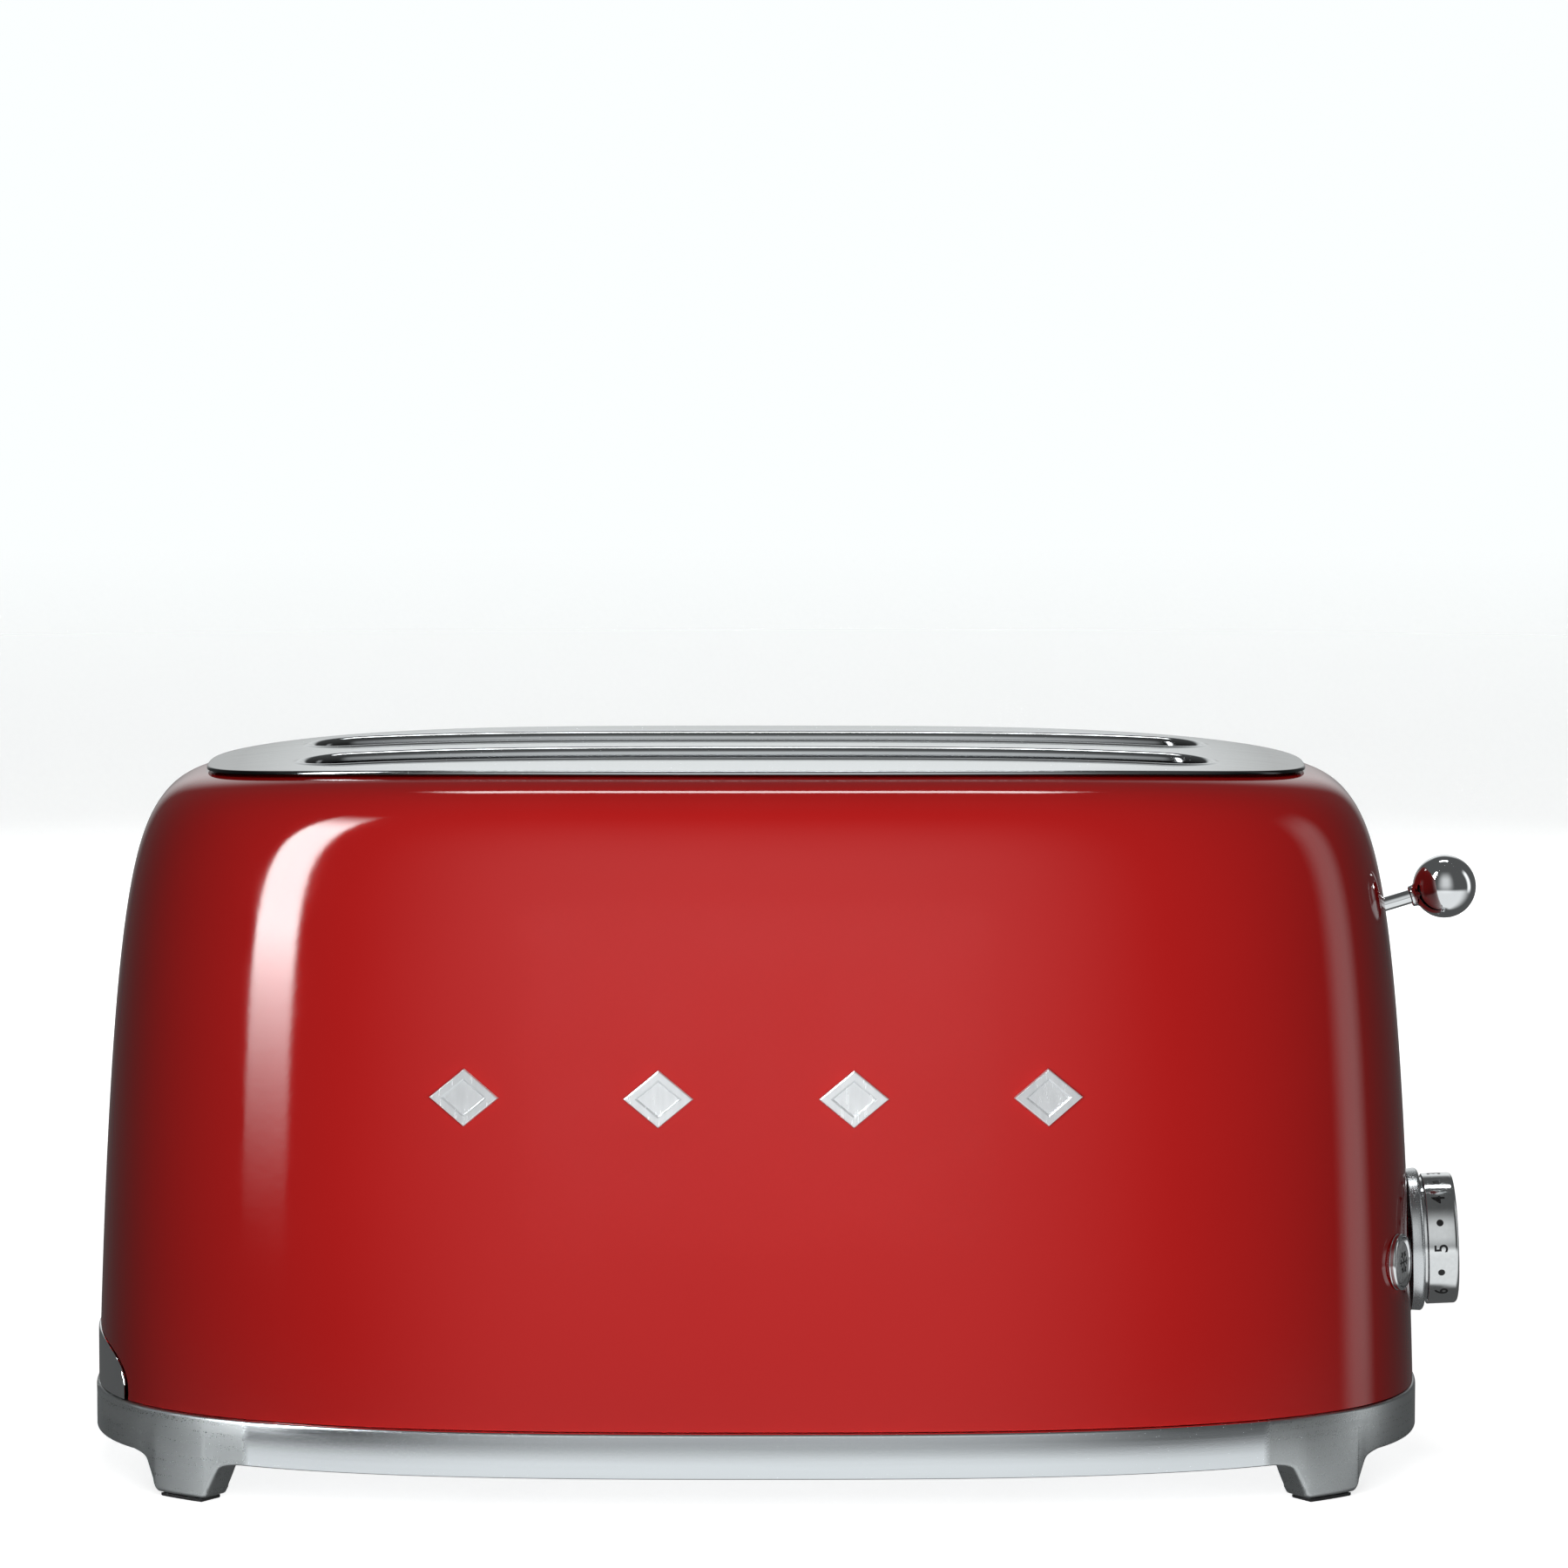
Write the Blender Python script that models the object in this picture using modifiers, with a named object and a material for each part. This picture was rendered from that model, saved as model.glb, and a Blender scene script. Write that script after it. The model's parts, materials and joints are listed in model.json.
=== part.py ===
"""Pop-up toaster with two long slots, built as separate pieces round a sprung bread carriage.

Metres, +Z up. Places are measured from the middle of the painted shell, and every piece hangs
on one empty that moves the whole object so that its box is centred on the origin.
The lever, the knob and the buttons are at the +X end, and the crumb tray slides out at -X.
"""
import math

import bmesh
import bpy
from mathutils import Matrix, Vector

GAP = 0.0003                    # clearance between two pieces that touch
SHEET = 0.0012                  # folded steel sheet of the chassis

# Plan outline shared by the shell, the ring and the top plate: a superellipse
PLAN_POWER = 2.8
PLAN_STEPS = 64

# Base ring and feet
RING_HALF_LENGTH = 0.1885
RING_HALF_DEPTH = 0.1040
RING_BOTTOM, RING_TOP = 0.0119, 0.0246
RING_WALL = 0.0035
FOOT_X = 0.1613
FOOT_DEPTH = 0.0110
FOOT_SHAPE = ((0.0, 0.0088), (0.14, 0.0107), (0.48, 0.0125), (0.80, 0.0143), (0.95, 0.0168), (1.0, 0.0200))
PAD_HEIGHT = 0.0010
PAD_HALF_WIDTH = 0.0078

# Painted shell: its half length shrinks with height t (0 at the base, 1 at the crown)
SHELL_HALF_LENGTH = 0.1878
SHELL_HALF_DEPTH = 0.1025
SHELL_FOOT, SHELL_CROWN = 0.0218, 0.2026
SHELL_LEAN, SHELL_SQUARENESS = 1.1, 28.7
END_DROP = 0.0084               # how far the crown falls away towards the two ends
SHELL_SHEET = 0.0009

# Top plate
PLATE_HALF_LENGTH, PLATE_HALF_DEPTH = 0.1562, 0.0665
PLATE_RISE = 0.0010
PLATE_SEAT = 0.0008             # shadow gap between the shell and the plate's rim
PLATE_SHEET = 0.0010
SLOT_LENGTH, SLOT_WIDTH = 0.2535, 0.0250
SLOT_Y = 0.0245
LIP_DEPTH = 0.0085
LIP_SECTION = ((0.0, -0.0010), (0.0003, 0.0002), (0.0012, 0.0006), (0.0030, 0.0003), (0.0030, -0.0008),
               (0.0012, -0.0008), (0.0012, -LIP_DEPTH), (0.0, -LIP_DEPTH))

# Bread carriage
TRAVEL = 0.065
RACK_TOP = 0.112
BALL_CENTRE = Vector((0.1966, 0.0, 0.1638))
BALL_RADIUS = 0.0090
ROD_RADIUS = 0.0020
ROD_TILT = math.radians(17)
BRACKET_X = 0.1374
GUIDE_ROD = Vector((0.1485, -0.0160, 0.0))
GUIDE_ROD_RADIUS = 0.0025
SPRING_CENTRE = Vector((0.1485, 0.0140, 0.0))
SPRING_RADIUS, SPRING_WIRE, SPRING_TURNS = 0.0035, 0.0005, 9

# Chassis, heaters and guards
END_PLATE_X = 0.1310
END_PLATE_HALF_DEPTH = 0.061
CHASSIS_BOTTOM, CHASSIS_TOP = 0.0150, 0.1850
SCREW_X, SCREW_Y = 0.1395, 0.052
BOARD_Y = 0.054
GUARD_OFFSET = 0.0155           # from a slot's middle to an upright guard
GUARD_PIVOT_Z = 0.046
GUARD_TOP = 0.172
GUARD_PIN_RADIUS = 0.00125

# Controls, on the +X end wall
KNOB_Z = 0.0618
KNOB_RADIUS = 0.0187
BUTTON_Y, BUTTON_Z = 0.042, 0.0622
BUTTON_RADIUS = 0.0062

# Crumb tray
TRAY_FLOOR_Z = 0.0253
TRAY_HALF_WIDTH = 0.0405
ARCH_HALF_WIDTH, ARCH_HEIGHT = 0.0530, 0.0160
ARCH_POWER = 3

BALL_REACH = BALL_CENTRE.x + BALL_RADIUS
CENTRE_X = (RING_HALF_LENGTH - BALL_REACH) / 2

FACING_X = Matrix(((0, 0, 1, 0), (1, 0, 0, 0), (0, 1, 0, 0), (0, 0, 0, 1)))
FACING_Y = Matrix(((1, 0, 0, 0), (0, 0, -1, 0), (0, 1, 0, 0), (0, 0, 0, 1)))


def clear_scene():
    for thing in list(bpy.data.objects):
        bpy.data.objects.remove(thing, do_unlink=True)


def make_material(name, colour, roughness, metallic):
    material = bpy.data.materials.new(name)
    material.use_nodes = True
    shader = material.node_tree.nodes["Principled BSDF"]
    shader.inputs["Base Color"].default_value = (*colour, 1.0)
    shader.inputs["Roughness"].default_value = roughness
    shader.inputs["Metallic"].default_value = metallic
    return material


clear_scene()
PIECES = bpy.data.collections.new("pop_up_toaster")
CUTTERS = bpy.data.collections.new("cutters")
for group in (PIECES, CUTTERS):
    bpy.context.scene.collection.children.link(group)

CENTRE = bpy.data.objects.new("toaster_centre", None)
CENTRE.location = (CENTRE_X, 0, 0)
PIECES.objects.link(CENTRE)

RED_PAINT = make_material("red_paint", (0.48, 0.02, 0.022), 0.12, 0.0)
POLISHED_STEEL = make_material("polished_steel", (0.72, 0.73, 0.74), 0.12, 1.0)
SATIN_METAL = make_material("satin_metal", (0.62, 0.61, 0.60), 0.32, 1.0)
CHROME = make_material("chrome", (0.80, 0.80, 0.82), 0.06, 1.0)
ZINC_STEEL = make_material("zinc_steel", (0.55, 0.56, 0.57), 0.38, 1.0)
RUBBER = make_material("rubber", (0.02, 0.02, 0.02), 0.75, 0.0)
MICA = make_material("mica", (0.52, 0.45, 0.34), 0.55, 0.0)
HEATER_ALLOY = make_material("heater_alloy", (0.40, 0.37, 0.34), 0.45, 1.0)
BLACK_PLASTIC = make_material("black_plastic", (0.025, 0.025, 0.028), 0.40, 0.0)
PALE_PLASTIC = make_material("pale_plastic", (0.80, 0.81, 0.82), 0.30, 0.0)
CIRCUIT_BOARD = make_material("circuit_board", (0.03, 0.16, 0.07), 0.45, 0.0)
COPPER_WINDING = make_material("copper_winding", (0.45, 0.17, 0.06), 0.35, 1.0)


# ---------------------------------------------------------------- building helpers

def mesh_of(bm, name="piece"):
    mesh = bpy.data.meshes.new(name)
    bm.to_mesh(mesh)
    bm.free()
    return mesh


def add_piece(name, mesh, material, smooth=False, parent=CENTRE, location=(0, 0, 0)):
    mesh.materials.clear()
    mesh.materials.append(material)
    if smooth:
        mesh.shade_smooth()
        mesh.set_sharp_from_angle(angle=math.radians(35))
    piece = bpy.data.objects.new(name, mesh)
    piece.location = location
    piece.parent = parent
    PIECES.objects.link(piece)
    return piece


def combine(piece, operation, *meshes, solver="EXACT"):
    """Boolean each mesh, given in the piece's own space, with the piece."""
    for number, mesh in enumerate(meshes):
        tool = bpy.data.objects.new(f"{piece.name}_{operation.lower()}_{number}", mesh)
        tool.parent = piece
        tool.hide_render = True
        tool.display_type = "WIRE"
        CUTTERS.objects.link(tool)
        modifier = piece.modifiers.new(tool.name, "BOOLEAN")
        modifier.operation = operation
        modifier.solver = solver
        modifier.object = tool


def cut(piece, *meshes, **options):
    combine(piece, "DIFFERENCE", *meshes, **options)


def join(piece, *meshes, **options):
    combine(piece, "UNION", *meshes, **options)


def box(low, high):
    low, high = Vector(low), Vector(high)
    bm = bmesh.new()
    place = Matrix.Translation((low + high) / 2) @ Matrix.Diagonal((*(high - low), 1))
    bmesh.ops.create_cube(bm, size=1, matrix=place)
    return mesh_of(bm)


def cylinder(start, end, radius, steps=24):
    start, end = Vector(start), Vector(end)
    along = end - start
    turn = along.to_track_quat("Z", "Y").to_matrix().to_4x4()
    bm = bmesh.new()
    bmesh.ops.create_cone(bm, cap_ends=True, segments=steps, radius1=radius, radius2=radius,
                          depth=along.length, matrix=Matrix.Translation((start + end) / 2) @ turn)
    return mesh_of(bm)


def curve_to_mesh(curve):
    holder = bpy.data.objects.new("outline", curve)
    PIECES.objects.link(holder)
    mesh = bpy.data.meshes.new_from_object(holder.evaluated_get(bpy.context.evaluated_depsgraph_get()))
    bpy.data.objects.remove(holder, do_unlink=True)
    bm = bmesh.new()
    bm.from_mesh(mesh)
    bmesh.ops.remove_doubles(bm, verts=bm.verts, dist=0.00001)
    bmesh.ops.recalc_face_normals(bm, faces=bm.faces)
    return mesh_of(bm)


def flat_piece(outlines, low, high, turn=None):
    """A sheet between two levels: the first outline is its edge and the others are holes."""
    curve = bpy.data.curves.new("outline", "CURVE")
    curve.dimensions = "2D"
    curve.fill_mode = "BOTH"
    curve.extrude = (high - low) / 2
    for outline in outlines:
        spline = curve.splines.new("POLY")
        spline.points.add(len(outline) - 1)
        for point, (x, y) in zip(spline.points, outline):
            point.co = (x, y, 0, 1)
        spline.use_cyclic_u = True
    mesh = curve_to_mesh(curve)
    mesh.transform(Matrix.Translation((0, 0, (low + high) / 2)))
    if turn:
        mesh.transform(turn)
    return mesh


def rectangle(x0, y0, x1, y1):
    return [(x0, y0), (x1, y0), (x1, y1), (x0, y1)]


def circle(x, y, radius, steps=16):
    turns = (2 * math.pi * k / steps for k in range(steps))
    return [(x + radius * math.cos(a), y + radius * math.sin(a)) for a in turns]


def stadium(x, y, length, width, steps=8, side_steps=1):
    """Outline of a long slot with round ends, along x."""
    radius, straight = width / 2, (length - width) / 2
    points = []
    for side in (1, -1):
        for k in range(steps + 1):
            angle = math.pi * (k / steps - 0.5)
            points.append((x + side * (straight + radius * math.cos(angle)),
                           y + side * radius * math.sin(angle)))
        for k in range(1, side_steps):
            points.append((x + side * straight * (1 - 2 * k / side_steps), y + side * radius))
    return points


def ribbon_outline(path, width):
    """Edge of a flat ribbon that follows a path with square corners."""
    path = [Vector(point) for point in path]
    sides = [(after - before).normalized().orthogonal() for before, after in zip(path, path[1:])]
    shifts = [sides[0], *[a + b for a, b in zip(sides, sides[1:])], sides[-1]]
    left = [point + shift * width / 2 for point, shift in zip(path, shifts)]
    right = [point - shift * width / 2 for point, shift in zip(path, shifts)]
    return left + right[::-1]


def turned(name, profile, material, steps=32, closed=False, parent=CENTRE):
    """A profile of (radius, height) points, from the top down its outer side, turned round Z."""
    bm = bmesh.new()
    points = [bm.verts.new((radius, 0, height)) for radius, height in profile]
    pairs = list(zip(points, points[1:]))
    if closed:
        pairs.append((points[-1], points[0]))
    for pair in pairs:
        bm.edges.new(pair)
    piece = add_piece(name, mesh_of(bm), material, parent=parent)
    screw = piece.modifiers.new("turn", "SCREW")
    screw.steps = screw.render_steps = steps
    screw.use_merge_vertices = True
    screw.merge_threshold = 0.00001
    return piece


def loft(sections, wrap=False, caps=True):
    """Skin a row of sections that each run anticlockwise round the direction of travel."""
    bm = bmesh.new()
    rows = [[bm.verts.new(point) for point in section] for section in sections]
    for lower, upper in zip(rows, rows[1:] + ([rows[0]] if wrap else [])):
        for k, vert in enumerate(lower):
            after = (k + 1) % len(lower)
            bm.faces.new((vert, lower[after], upper[after], upper[k]))
    if caps:
        bm.faces.new(reversed(rows[0]))
        bm.faces.new(rows[-1])
    if caps or wrap:
        bmesh.ops.recalc_face_normals(bm, faces=bm.faces)
    return mesh_of(bm)


# ---------------------------------------------------------------- shared outlines

def plan_point(turn, half_length, half_depth):
    cosine, sine = math.cos(turn), math.sin(turn)
    power = 2 / PLAN_POWER
    return Vector((half_length * math.copysign(abs(cosine) ** power, cosine),
                   half_depth * math.copysign(abs(sine) ** power, sine), 0))


def plan_outline(half_length, half_depth, steps=PLAN_STEPS):
    return [plan_point(2 * math.pi * k / steps, half_length, half_depth) for k in range(steps)]


def ring_point(turn, inset=0.0, height=0.0):
    """A point of the ring's outline, moved in along its normal."""
    point = plan_point(turn, RING_HALF_LENGTH, RING_HALF_DEPTH)
    slope = (Vector((abs(point.x / RING_HALF_LENGTH) ** (PLAN_POWER - 1) / RING_HALF_LENGTH,
                     abs(point.y / RING_HALF_DEPTH) ** (PLAN_POWER - 1) / RING_HALF_DEPTH, 0))).normalized()
    normal = Vector((math.copysign(slope.x, point.x), math.copysign(slope.y, point.y), 0))
    return point - inset * normal + Vector((0, 0, height))


def shell_size(t):
    """Half length and half depth of the shell at height t."""
    half_length = SHELL_HALF_LENGTH * (1 - t ** SHELL_LEAN) ** (1 / SHELL_SQUARENESS)
    closing = (SHELL_HALF_DEPTH - PLATE_HALF_DEPTH) / (SHELL_HALF_LENGTH - PLATE_HALF_LENGTH)
    return half_length, SHELL_HALF_DEPTH - (SHELL_HALF_LENGTH - half_length) * closing


def shell_height(t, x):
    drop = END_DROP * abs(x / SHELL_HALF_LENGTH) ** 4 * t ** 6
    return SHELL_FOOT + (SHELL_CROWN - SHELL_FOOT) * t - drop


def shell_ring(t):
    return [Vector((p.x, p.y, shell_height(t, p.x))) for p in plan_outline(*shell_size(t))]


def height_share(half_length):
    """Height t at which the shell has the given half length."""
    return (1 - (half_length / SHELL_HALF_LENGTH) ** SHELL_SQUARENESS) ** (1 / SHELL_LEAN)


def surface_point(across, z, at_end):
    """A point of the shell at height z: on the front wall (across is x) or on the +X wall (across is y)."""
    low, high = 0.0, 1.0
    for _ in range(40):
        t = (low + high) / 2
        half_length, half_depth = shell_size(t)
        if at_end:
            share = (1 - abs(across / half_depth) ** PLAN_POWER) ** (1 / PLAN_POWER)
            point = Vector((half_length * share, across, 0))
        else:
            share = (1 - abs(across / half_length) ** PLAN_POWER) ** (1 / PLAN_POWER)
            point = Vector((across, -half_depth * share, 0))
        point.z = shell_height(t, point.x)
        low, high = (t, high) if point.z < z else (low, t)
    return point


def surface_frame(name, across, z, at_end=True):
    """An empty on the shell with its Z along the surface's normal and its Y up the wall."""
    step = 0.001
    point = surface_point(across, z, at_end)
    up = surface_point(across, z + step, at_end) - surface_point(across, z - step, at_end)
    side = surface_point(across + step, z, at_end) - surface_point(across - step, z, at_end)
    normal = side.cross(up).normalized()
    side = up.cross(normal).normalized()
    up = normal.cross(side)
    frame = bpy.data.objects.new(name, None)
    frame.matrix_local = Matrix.Translation(point) @ Matrix((side, up, normal)).transposed().to_4x4()
    frame.parent = CENTRE
    PIECES.objects.link(frame)
    return frame


# ---------------------------------------------------------------- outside

def make_outer_shell(knob_frame, button_frames):
    lowest = (RING_TOP + GAP - SHELL_FOOT) / (SHELL_CROWN - SHELL_FOOT)
    rim = height_share(PLATE_HALF_LENGTH - 0.0030)
    rings = [lowest + (rim - lowest) * (1 - (1 - k / 11) ** 2.2) for k in range(12)]
    wall = loft([shell_ring(t) for t in rings], caps=False)
    shell = add_piece("outer_shell", wall, RED_PAINT, smooth=True)
    sheet = shell.modifiers.new("sheet", "SOLIDIFY")
    sheet.thickness = SHELL_SHEET
    sheet.offset = -1
    slot_low = BALL_CENTRE.z - TRAVEL - 0.0085
    slot_high = BALL_CENTRE.z + 0.0015
    slot = stadium(-(slot_low + slot_high) / 2, 0, slot_high - slot_low, 0.0064)
    lever_slot = flat_piece([slot], 0.160, 0.200, Matrix.Rotation(math.radians(90), 4, "Y"))
    arch = arch_outline(ARCH_HALF_WIDTH + 0.0005, ARCH_HEIGHT + 0.0006)
    tray_mouth = flat_piece([arch], -0.200, -0.150, FACING_X)
    shaft_hole = cylinder((0, 0, -0.01), (0, 0, 0.01), 0.0048)
    shaft_hole.transform(knob_frame.matrix_local)
    holes = [shaft_hole]
    for frame in button_frames:
        hole = cylinder((0, 0, -0.006), (0, 0, 0.01), BUTTON_RADIUS + 0.0005)
        hole.transform(frame.matrix_local)
        holes.append(hole)
    cut(shell, lever_slot, tray_mouth, *holes)


def arch_rise(share):
    """Rise of the tray's arch, as a share of its height, at a share of its half width."""
    return max(0.0, 1 - abs(share) ** ARCH_POWER) ** (1 / ARCH_POWER)


def arch_outline(half_width, height, steps=20):
    """A low arch standing on the ring, as seen along X."""
    shares = [math.cos(math.pi * k / steps) for k in range(steps + 1)]
    arc = [(half_width * share, RING_TOP + height * arch_rise(share)) for share in shares]
    return arc + [(-half_width, RING_TOP - 0.002), (half_width, RING_TOP - 0.002)]


def plate_height(point):
    """Height of the top plate's upper face above a plan point."""
    radius = (abs(point.x / PLATE_HALF_LENGTH) ** PLAN_POWER
              + abs(point.y / PLATE_HALF_DEPTH) ** PLAN_POWER) ** (1 / PLAN_POWER)
    rim = shell_height(height_share(PLATE_HALF_LENGTH), point.x) + PLATE_SEAT + PLATE_SHEET
    return rim + PLATE_RISE * (1 - radius ** 2)


def make_top_plate():
    sections = []
    for share in (1.0, 0.985, 0.90, 0.72, 0.25):
        ring = plan_outline(PLATE_HALF_LENGTH * share, PLATE_HALF_DEPTH * share)
        sections.append([Vector((p.x, p.y, plate_height(p))) for p in ring])
    bm = bmesh.new()
    bm.from_mesh(loft(sections, caps=False))
    inner_edges = [edge for edge in bm.edges if edge.is_boundary and edge.verts[0].co.to_2d().length < 0.05]
    bmesh.ops.contextual_create(bm, geom=inner_edges)
    plate = add_piece("top_plate", mesh_of(bm), POLISHED_STEEL, smooth=True)
    sheet = plate.modifiers.new("sheet", "SOLIDIFY")
    sheet.thickness = PLATE_SHEET
    sheet.offset = -1
    for side in (-1, 1):
        mouth = stadium(0, side * SLOT_Y, SLOT_LENGTH + 0.001, SLOT_WIDTH + 0.001)
        cut(plate, flat_piece([mouth], 0.150, 0.250))
        join(plate, slot_lip(side))


def slot_lip(side):
    """The rolled lip round a bread slot: a rounded section led round the slot's outline."""
    rows = []
    for x, y in stadium(0, side * SLOT_Y, SLOT_LENGTH, SLOT_WIDTH, side_steps=10):
        straight = (SLOT_LENGTH - SLOT_WIDTH) / 2
        middle = Vector((max(-straight, min(straight, x)), side * SLOT_Y, 0))
        outward = (Vector((x, y, 0)) - middle).normalized()
        rows.append([Vector((x, y, plate_height(Vector((x, y, 0))) + rise)) + outward * out
                     for out, rise in LIP_SECTION])
    return loft(rows, wrap=True, caps=False)


def foot_section(turn, half_width, inset_out, inset_in, height, steps=6):
    """A slice through a foot: it follows the ring's outline between two insets."""
    step = 0.001
    speed = (ring_point(turn + step) - ring_point(turn)).length / step
    shares = [half_width / speed * (2 * k / steps - 1) for k in range(steps + 1)]
    outer = [ring_point(turn + share, inset_out, height) for share in shares]
    inner = [ring_point(turn + share, inset_in, height) for share in shares]
    return outer + inner[::-1]


def foot_turns():
    """Turning angles of the ring's outline at which the four feet stand."""
    first = math.acos((FOOT_X / RING_HALF_LENGTH) ** (PLAN_POWER / 2))
    return {"rear_right": first, "rear_left": math.pi - first,
            "front_left": math.pi + first, "front_right": -first}


def make_base_ring():
    section = ((0.0006, RING_BOTTOM), (0.0, RING_BOTTOM + 0.0006), (0.0, RING_TOP - 0.0008),
               (0.0008, RING_TOP), (RING_WALL, RING_TOP), (RING_WALL, RING_BOTTOM + 0.0015),
               (0.0085, RING_BOTTOM + 0.0015), (0.0085, RING_BOTTOM))
    rows = [[ring_point(2 * math.pi * k / PLAN_STEPS, inset, height) for inset, height in section]
            for k in range(PLAN_STEPS)]
    ring = add_piece("base_ring", loft(rows, wrap=True, caps=False), SATIN_METAL, smooth=True)
    sole = PAD_HEIGHT + GAP
    for turn in foot_turns().values():
        rise = RING_BOTTOM + 0.0007 - sole
        join(ring, loft([foot_section(turn, half_width, 0.0001, FOOT_DEPTH, sole + rise * share)
                         for share, half_width in FOOT_SHAPE]))


def make_foot_pads():
    for place, turn in foot_turns().items():
        slices = [foot_section(turn, PAD_HALF_WIDTH, 0.0010, FOOT_DEPTH - 0.0010, height, steps=4)
                  for height in (0.0, PAD_HEIGHT)]
        add_piece(f"foot_pad_{place}", loft(slices), RUBBER)


def make_bottom_plate():
    edge = [(p.x, p.y) for p in (ring_point(2 * math.pi * k / PLAN_STEPS, RING_WALL + 0.0005)
                                 for k in range(PLAN_STEPS))]
    vents = [stadium(x * 0.036, y, 0.024, 0.004, steps=3) for y in (-0.066, 0.066) for x in range(-2, 3)]
    holes = [circle(x, y, 0.0021, 10) for x in (-SCREW_X, SCREW_X) for y in (-SCREW_Y, SCREW_Y)]
    gland = circle(-0.118, 0.073, 0.0066)
    low = RING_BOTTOM + 0.0015 + GAP
    add_piece("bottom_plate", flat_piece([edge, *vents, *holes, gland], low, low + 0.001), ZINC_STEEL)


def make_emblems():
    for number, x in enumerate((-0.0800, -0.0268, 0.0268, 0.0800), start=1):
        frame = surface_frame(f"emblem_place_{number}", x, 0.1165, at_end=False)
        lozenge = [(0.0102, 0), (0, 0.0084), (-0.0102, 0), (0, -0.0084)]
        emblem = add_piece(f"front_emblem_{number}", flat_piece([lozenge], 0.0004, 0.0020), CHROME,
                           parent=frame)
        bevel = emblem.modifiers.new("edge", "BEVEL")
        bevel.width = 0.0005
        bevel.segments = 1
        bevel.limit_method = "ANGLE"


# ---------------------------------------------------------------- chassis

def make_end_plates():
    for name, side in (("end_plate_right", 1), ("end_plate_left", -1)):
        edge = rectangle(-END_PLATE_HALF_DEPTH, CHASSIS_BOTTOM, END_PLATE_HALF_DEPTH, CHASSIS_TOP)
        openings = [rectangle(y - 0.0055, 0.036, y + 0.0055, RACK_TOP + 0.008) for y in (-SLOT_Y, SLOT_Y)]
        openings += [circle(y, GUARD_PIVOT_Z, 0.0018, 10) for y in guard_places().values()]
        if side < 0:
            openings.append(rectangle(-0.044, 0.023, 0.044, 0.032))
        face = END_PLATE_X * side
        plate = add_piece(name, flat_piece([edge, *openings], face - SHEET / 2, face + SHEET / 2, FACING_X),
                          ZINC_STEEL)
        near, far = sorted((face, side * 0.147))
        flange = box((near, -0.058, CHASSIS_BOTTOM), (far, 0.058, CHASSIS_BOTTOM + SHEET))
        join(plate, flange, solver="MANIFOLD")
        if side > 0:
            shelf = box((face, -0.024, CHASSIS_TOP - SHEET), (0.156, 0.024, CHASSIS_TOP))
            join(plate, shelf, solver="MANIFOLD")
        cut(plate, *[cylinder((side * SCREW_X, y, 0.010), (side * SCREW_X, y, 0.022), 0.0021, 10)
                     for y in (-SCREW_Y, SCREW_Y)], solver="MANIFOLD")


def guard_places():
    return {"front_outer": -SLOT_Y - GUARD_OFFSET, "front_inner": -SLOT_Y + GUARD_OFFSET,
            "rear_inner": SLOT_Y - GUARD_OFFSET, "rear_outer": SLOT_Y + GUARD_OFFSET}


def make_heat_shields():
    for name, y in (("heat_shield_front", -0.0640), ("heat_shield_rear", 0.0640)):
        side = math.copysign(1, y)
        louvres = [stadium(x * 0.048, 0.165, 0.034, 0.005, steps=3) for x in range(-2, 3)]
        shield = add_piece(name, flat_piece([rectangle(-0.134, 0.030, 0.134, 0.180), *louvres],
                                            -y - 0.0004, -y + 0.0004, FACING_Y), ZINC_STEEL)
        near, far = sorted((y, y + side * 0.008))
        join(shield, box((-0.134, near, 0.030), (0.134, far, 0.0308)))


def make_heaters():
    for name, y in (("front", -BOARD_Y), ("centre", 0.0), ("rear", BOARD_Y)):
        board = rectangle(-0.129, 0.040, 0.129, 0.178)
        add_piece(f"heater_board_{name}", flat_piece([board], -y - 0.0004, -y + 0.0004, FACING_Y), MICA)
        faces = {"front": (1,), "centre": (-1, 1), "rear": (-1,)}[name]
        levels = [0.052 + 0.0115 * k for k in range(11)]
        path = []
        for k, z in enumerate(levels):
            start = -0.118 if k % 2 == 0 else 0.118
            path += [(start, z), (-start, z)]
        path.append((0.118, 0.1785))
        windings = []
        for face in faces:
            near, far = sorted((-y - face * 0.0007, -y - face * 0.0011))
            windings.append(flat_piece([ribbon_outline(path, 0.0015)], near, far, FACING_Y))
        ribbon = add_piece(f"heater_ribbon_{name}", windings[0], HEATER_ALLOY)
        if len(windings) > 1:
            join(ribbon, windings[1], box((0.11725, -0.0011, 0.1783), (0.11875, 0.0011, 0.1788)))


def make_tray_rails():
    for name, side in (("tray_rail_front", -1), ("tray_rail_rear", 1)):
        inner, outer = sorted((side * 0.036, side * 0.0435))
        rail = add_piece(name, box((-0.128, inner, 0.0235), (0.128, outer, 0.0245)), ZINC_STEEL)
        wall = sorted((side * 0.0425, side * 0.0435))
        join(rail, box((-0.128, wall[0], CHASSIS_BOTTOM), (0.128, wall[1], 0.0240)))


def make_base_screws():
    profile = [(0, 0.0190), (0.0017, 0.0190), (0.0017, 0.0134), (0.0035, 0.0134), (0.0030, 0.0116),
               (0, 0.0116)]
    places = [(x, y) for x in (-SCREW_X, SCREW_X) for y in (-SCREW_Y, SCREW_Y)]
    for number, (x, y) in enumerate(places, start=1):
        screw = turned(f"base_screw_{number}", profile, ZINC_STEEL, steps=12)
        screw.location = (x, y, 0)


# ---------------------------------------------------------------- moving pieces

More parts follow.
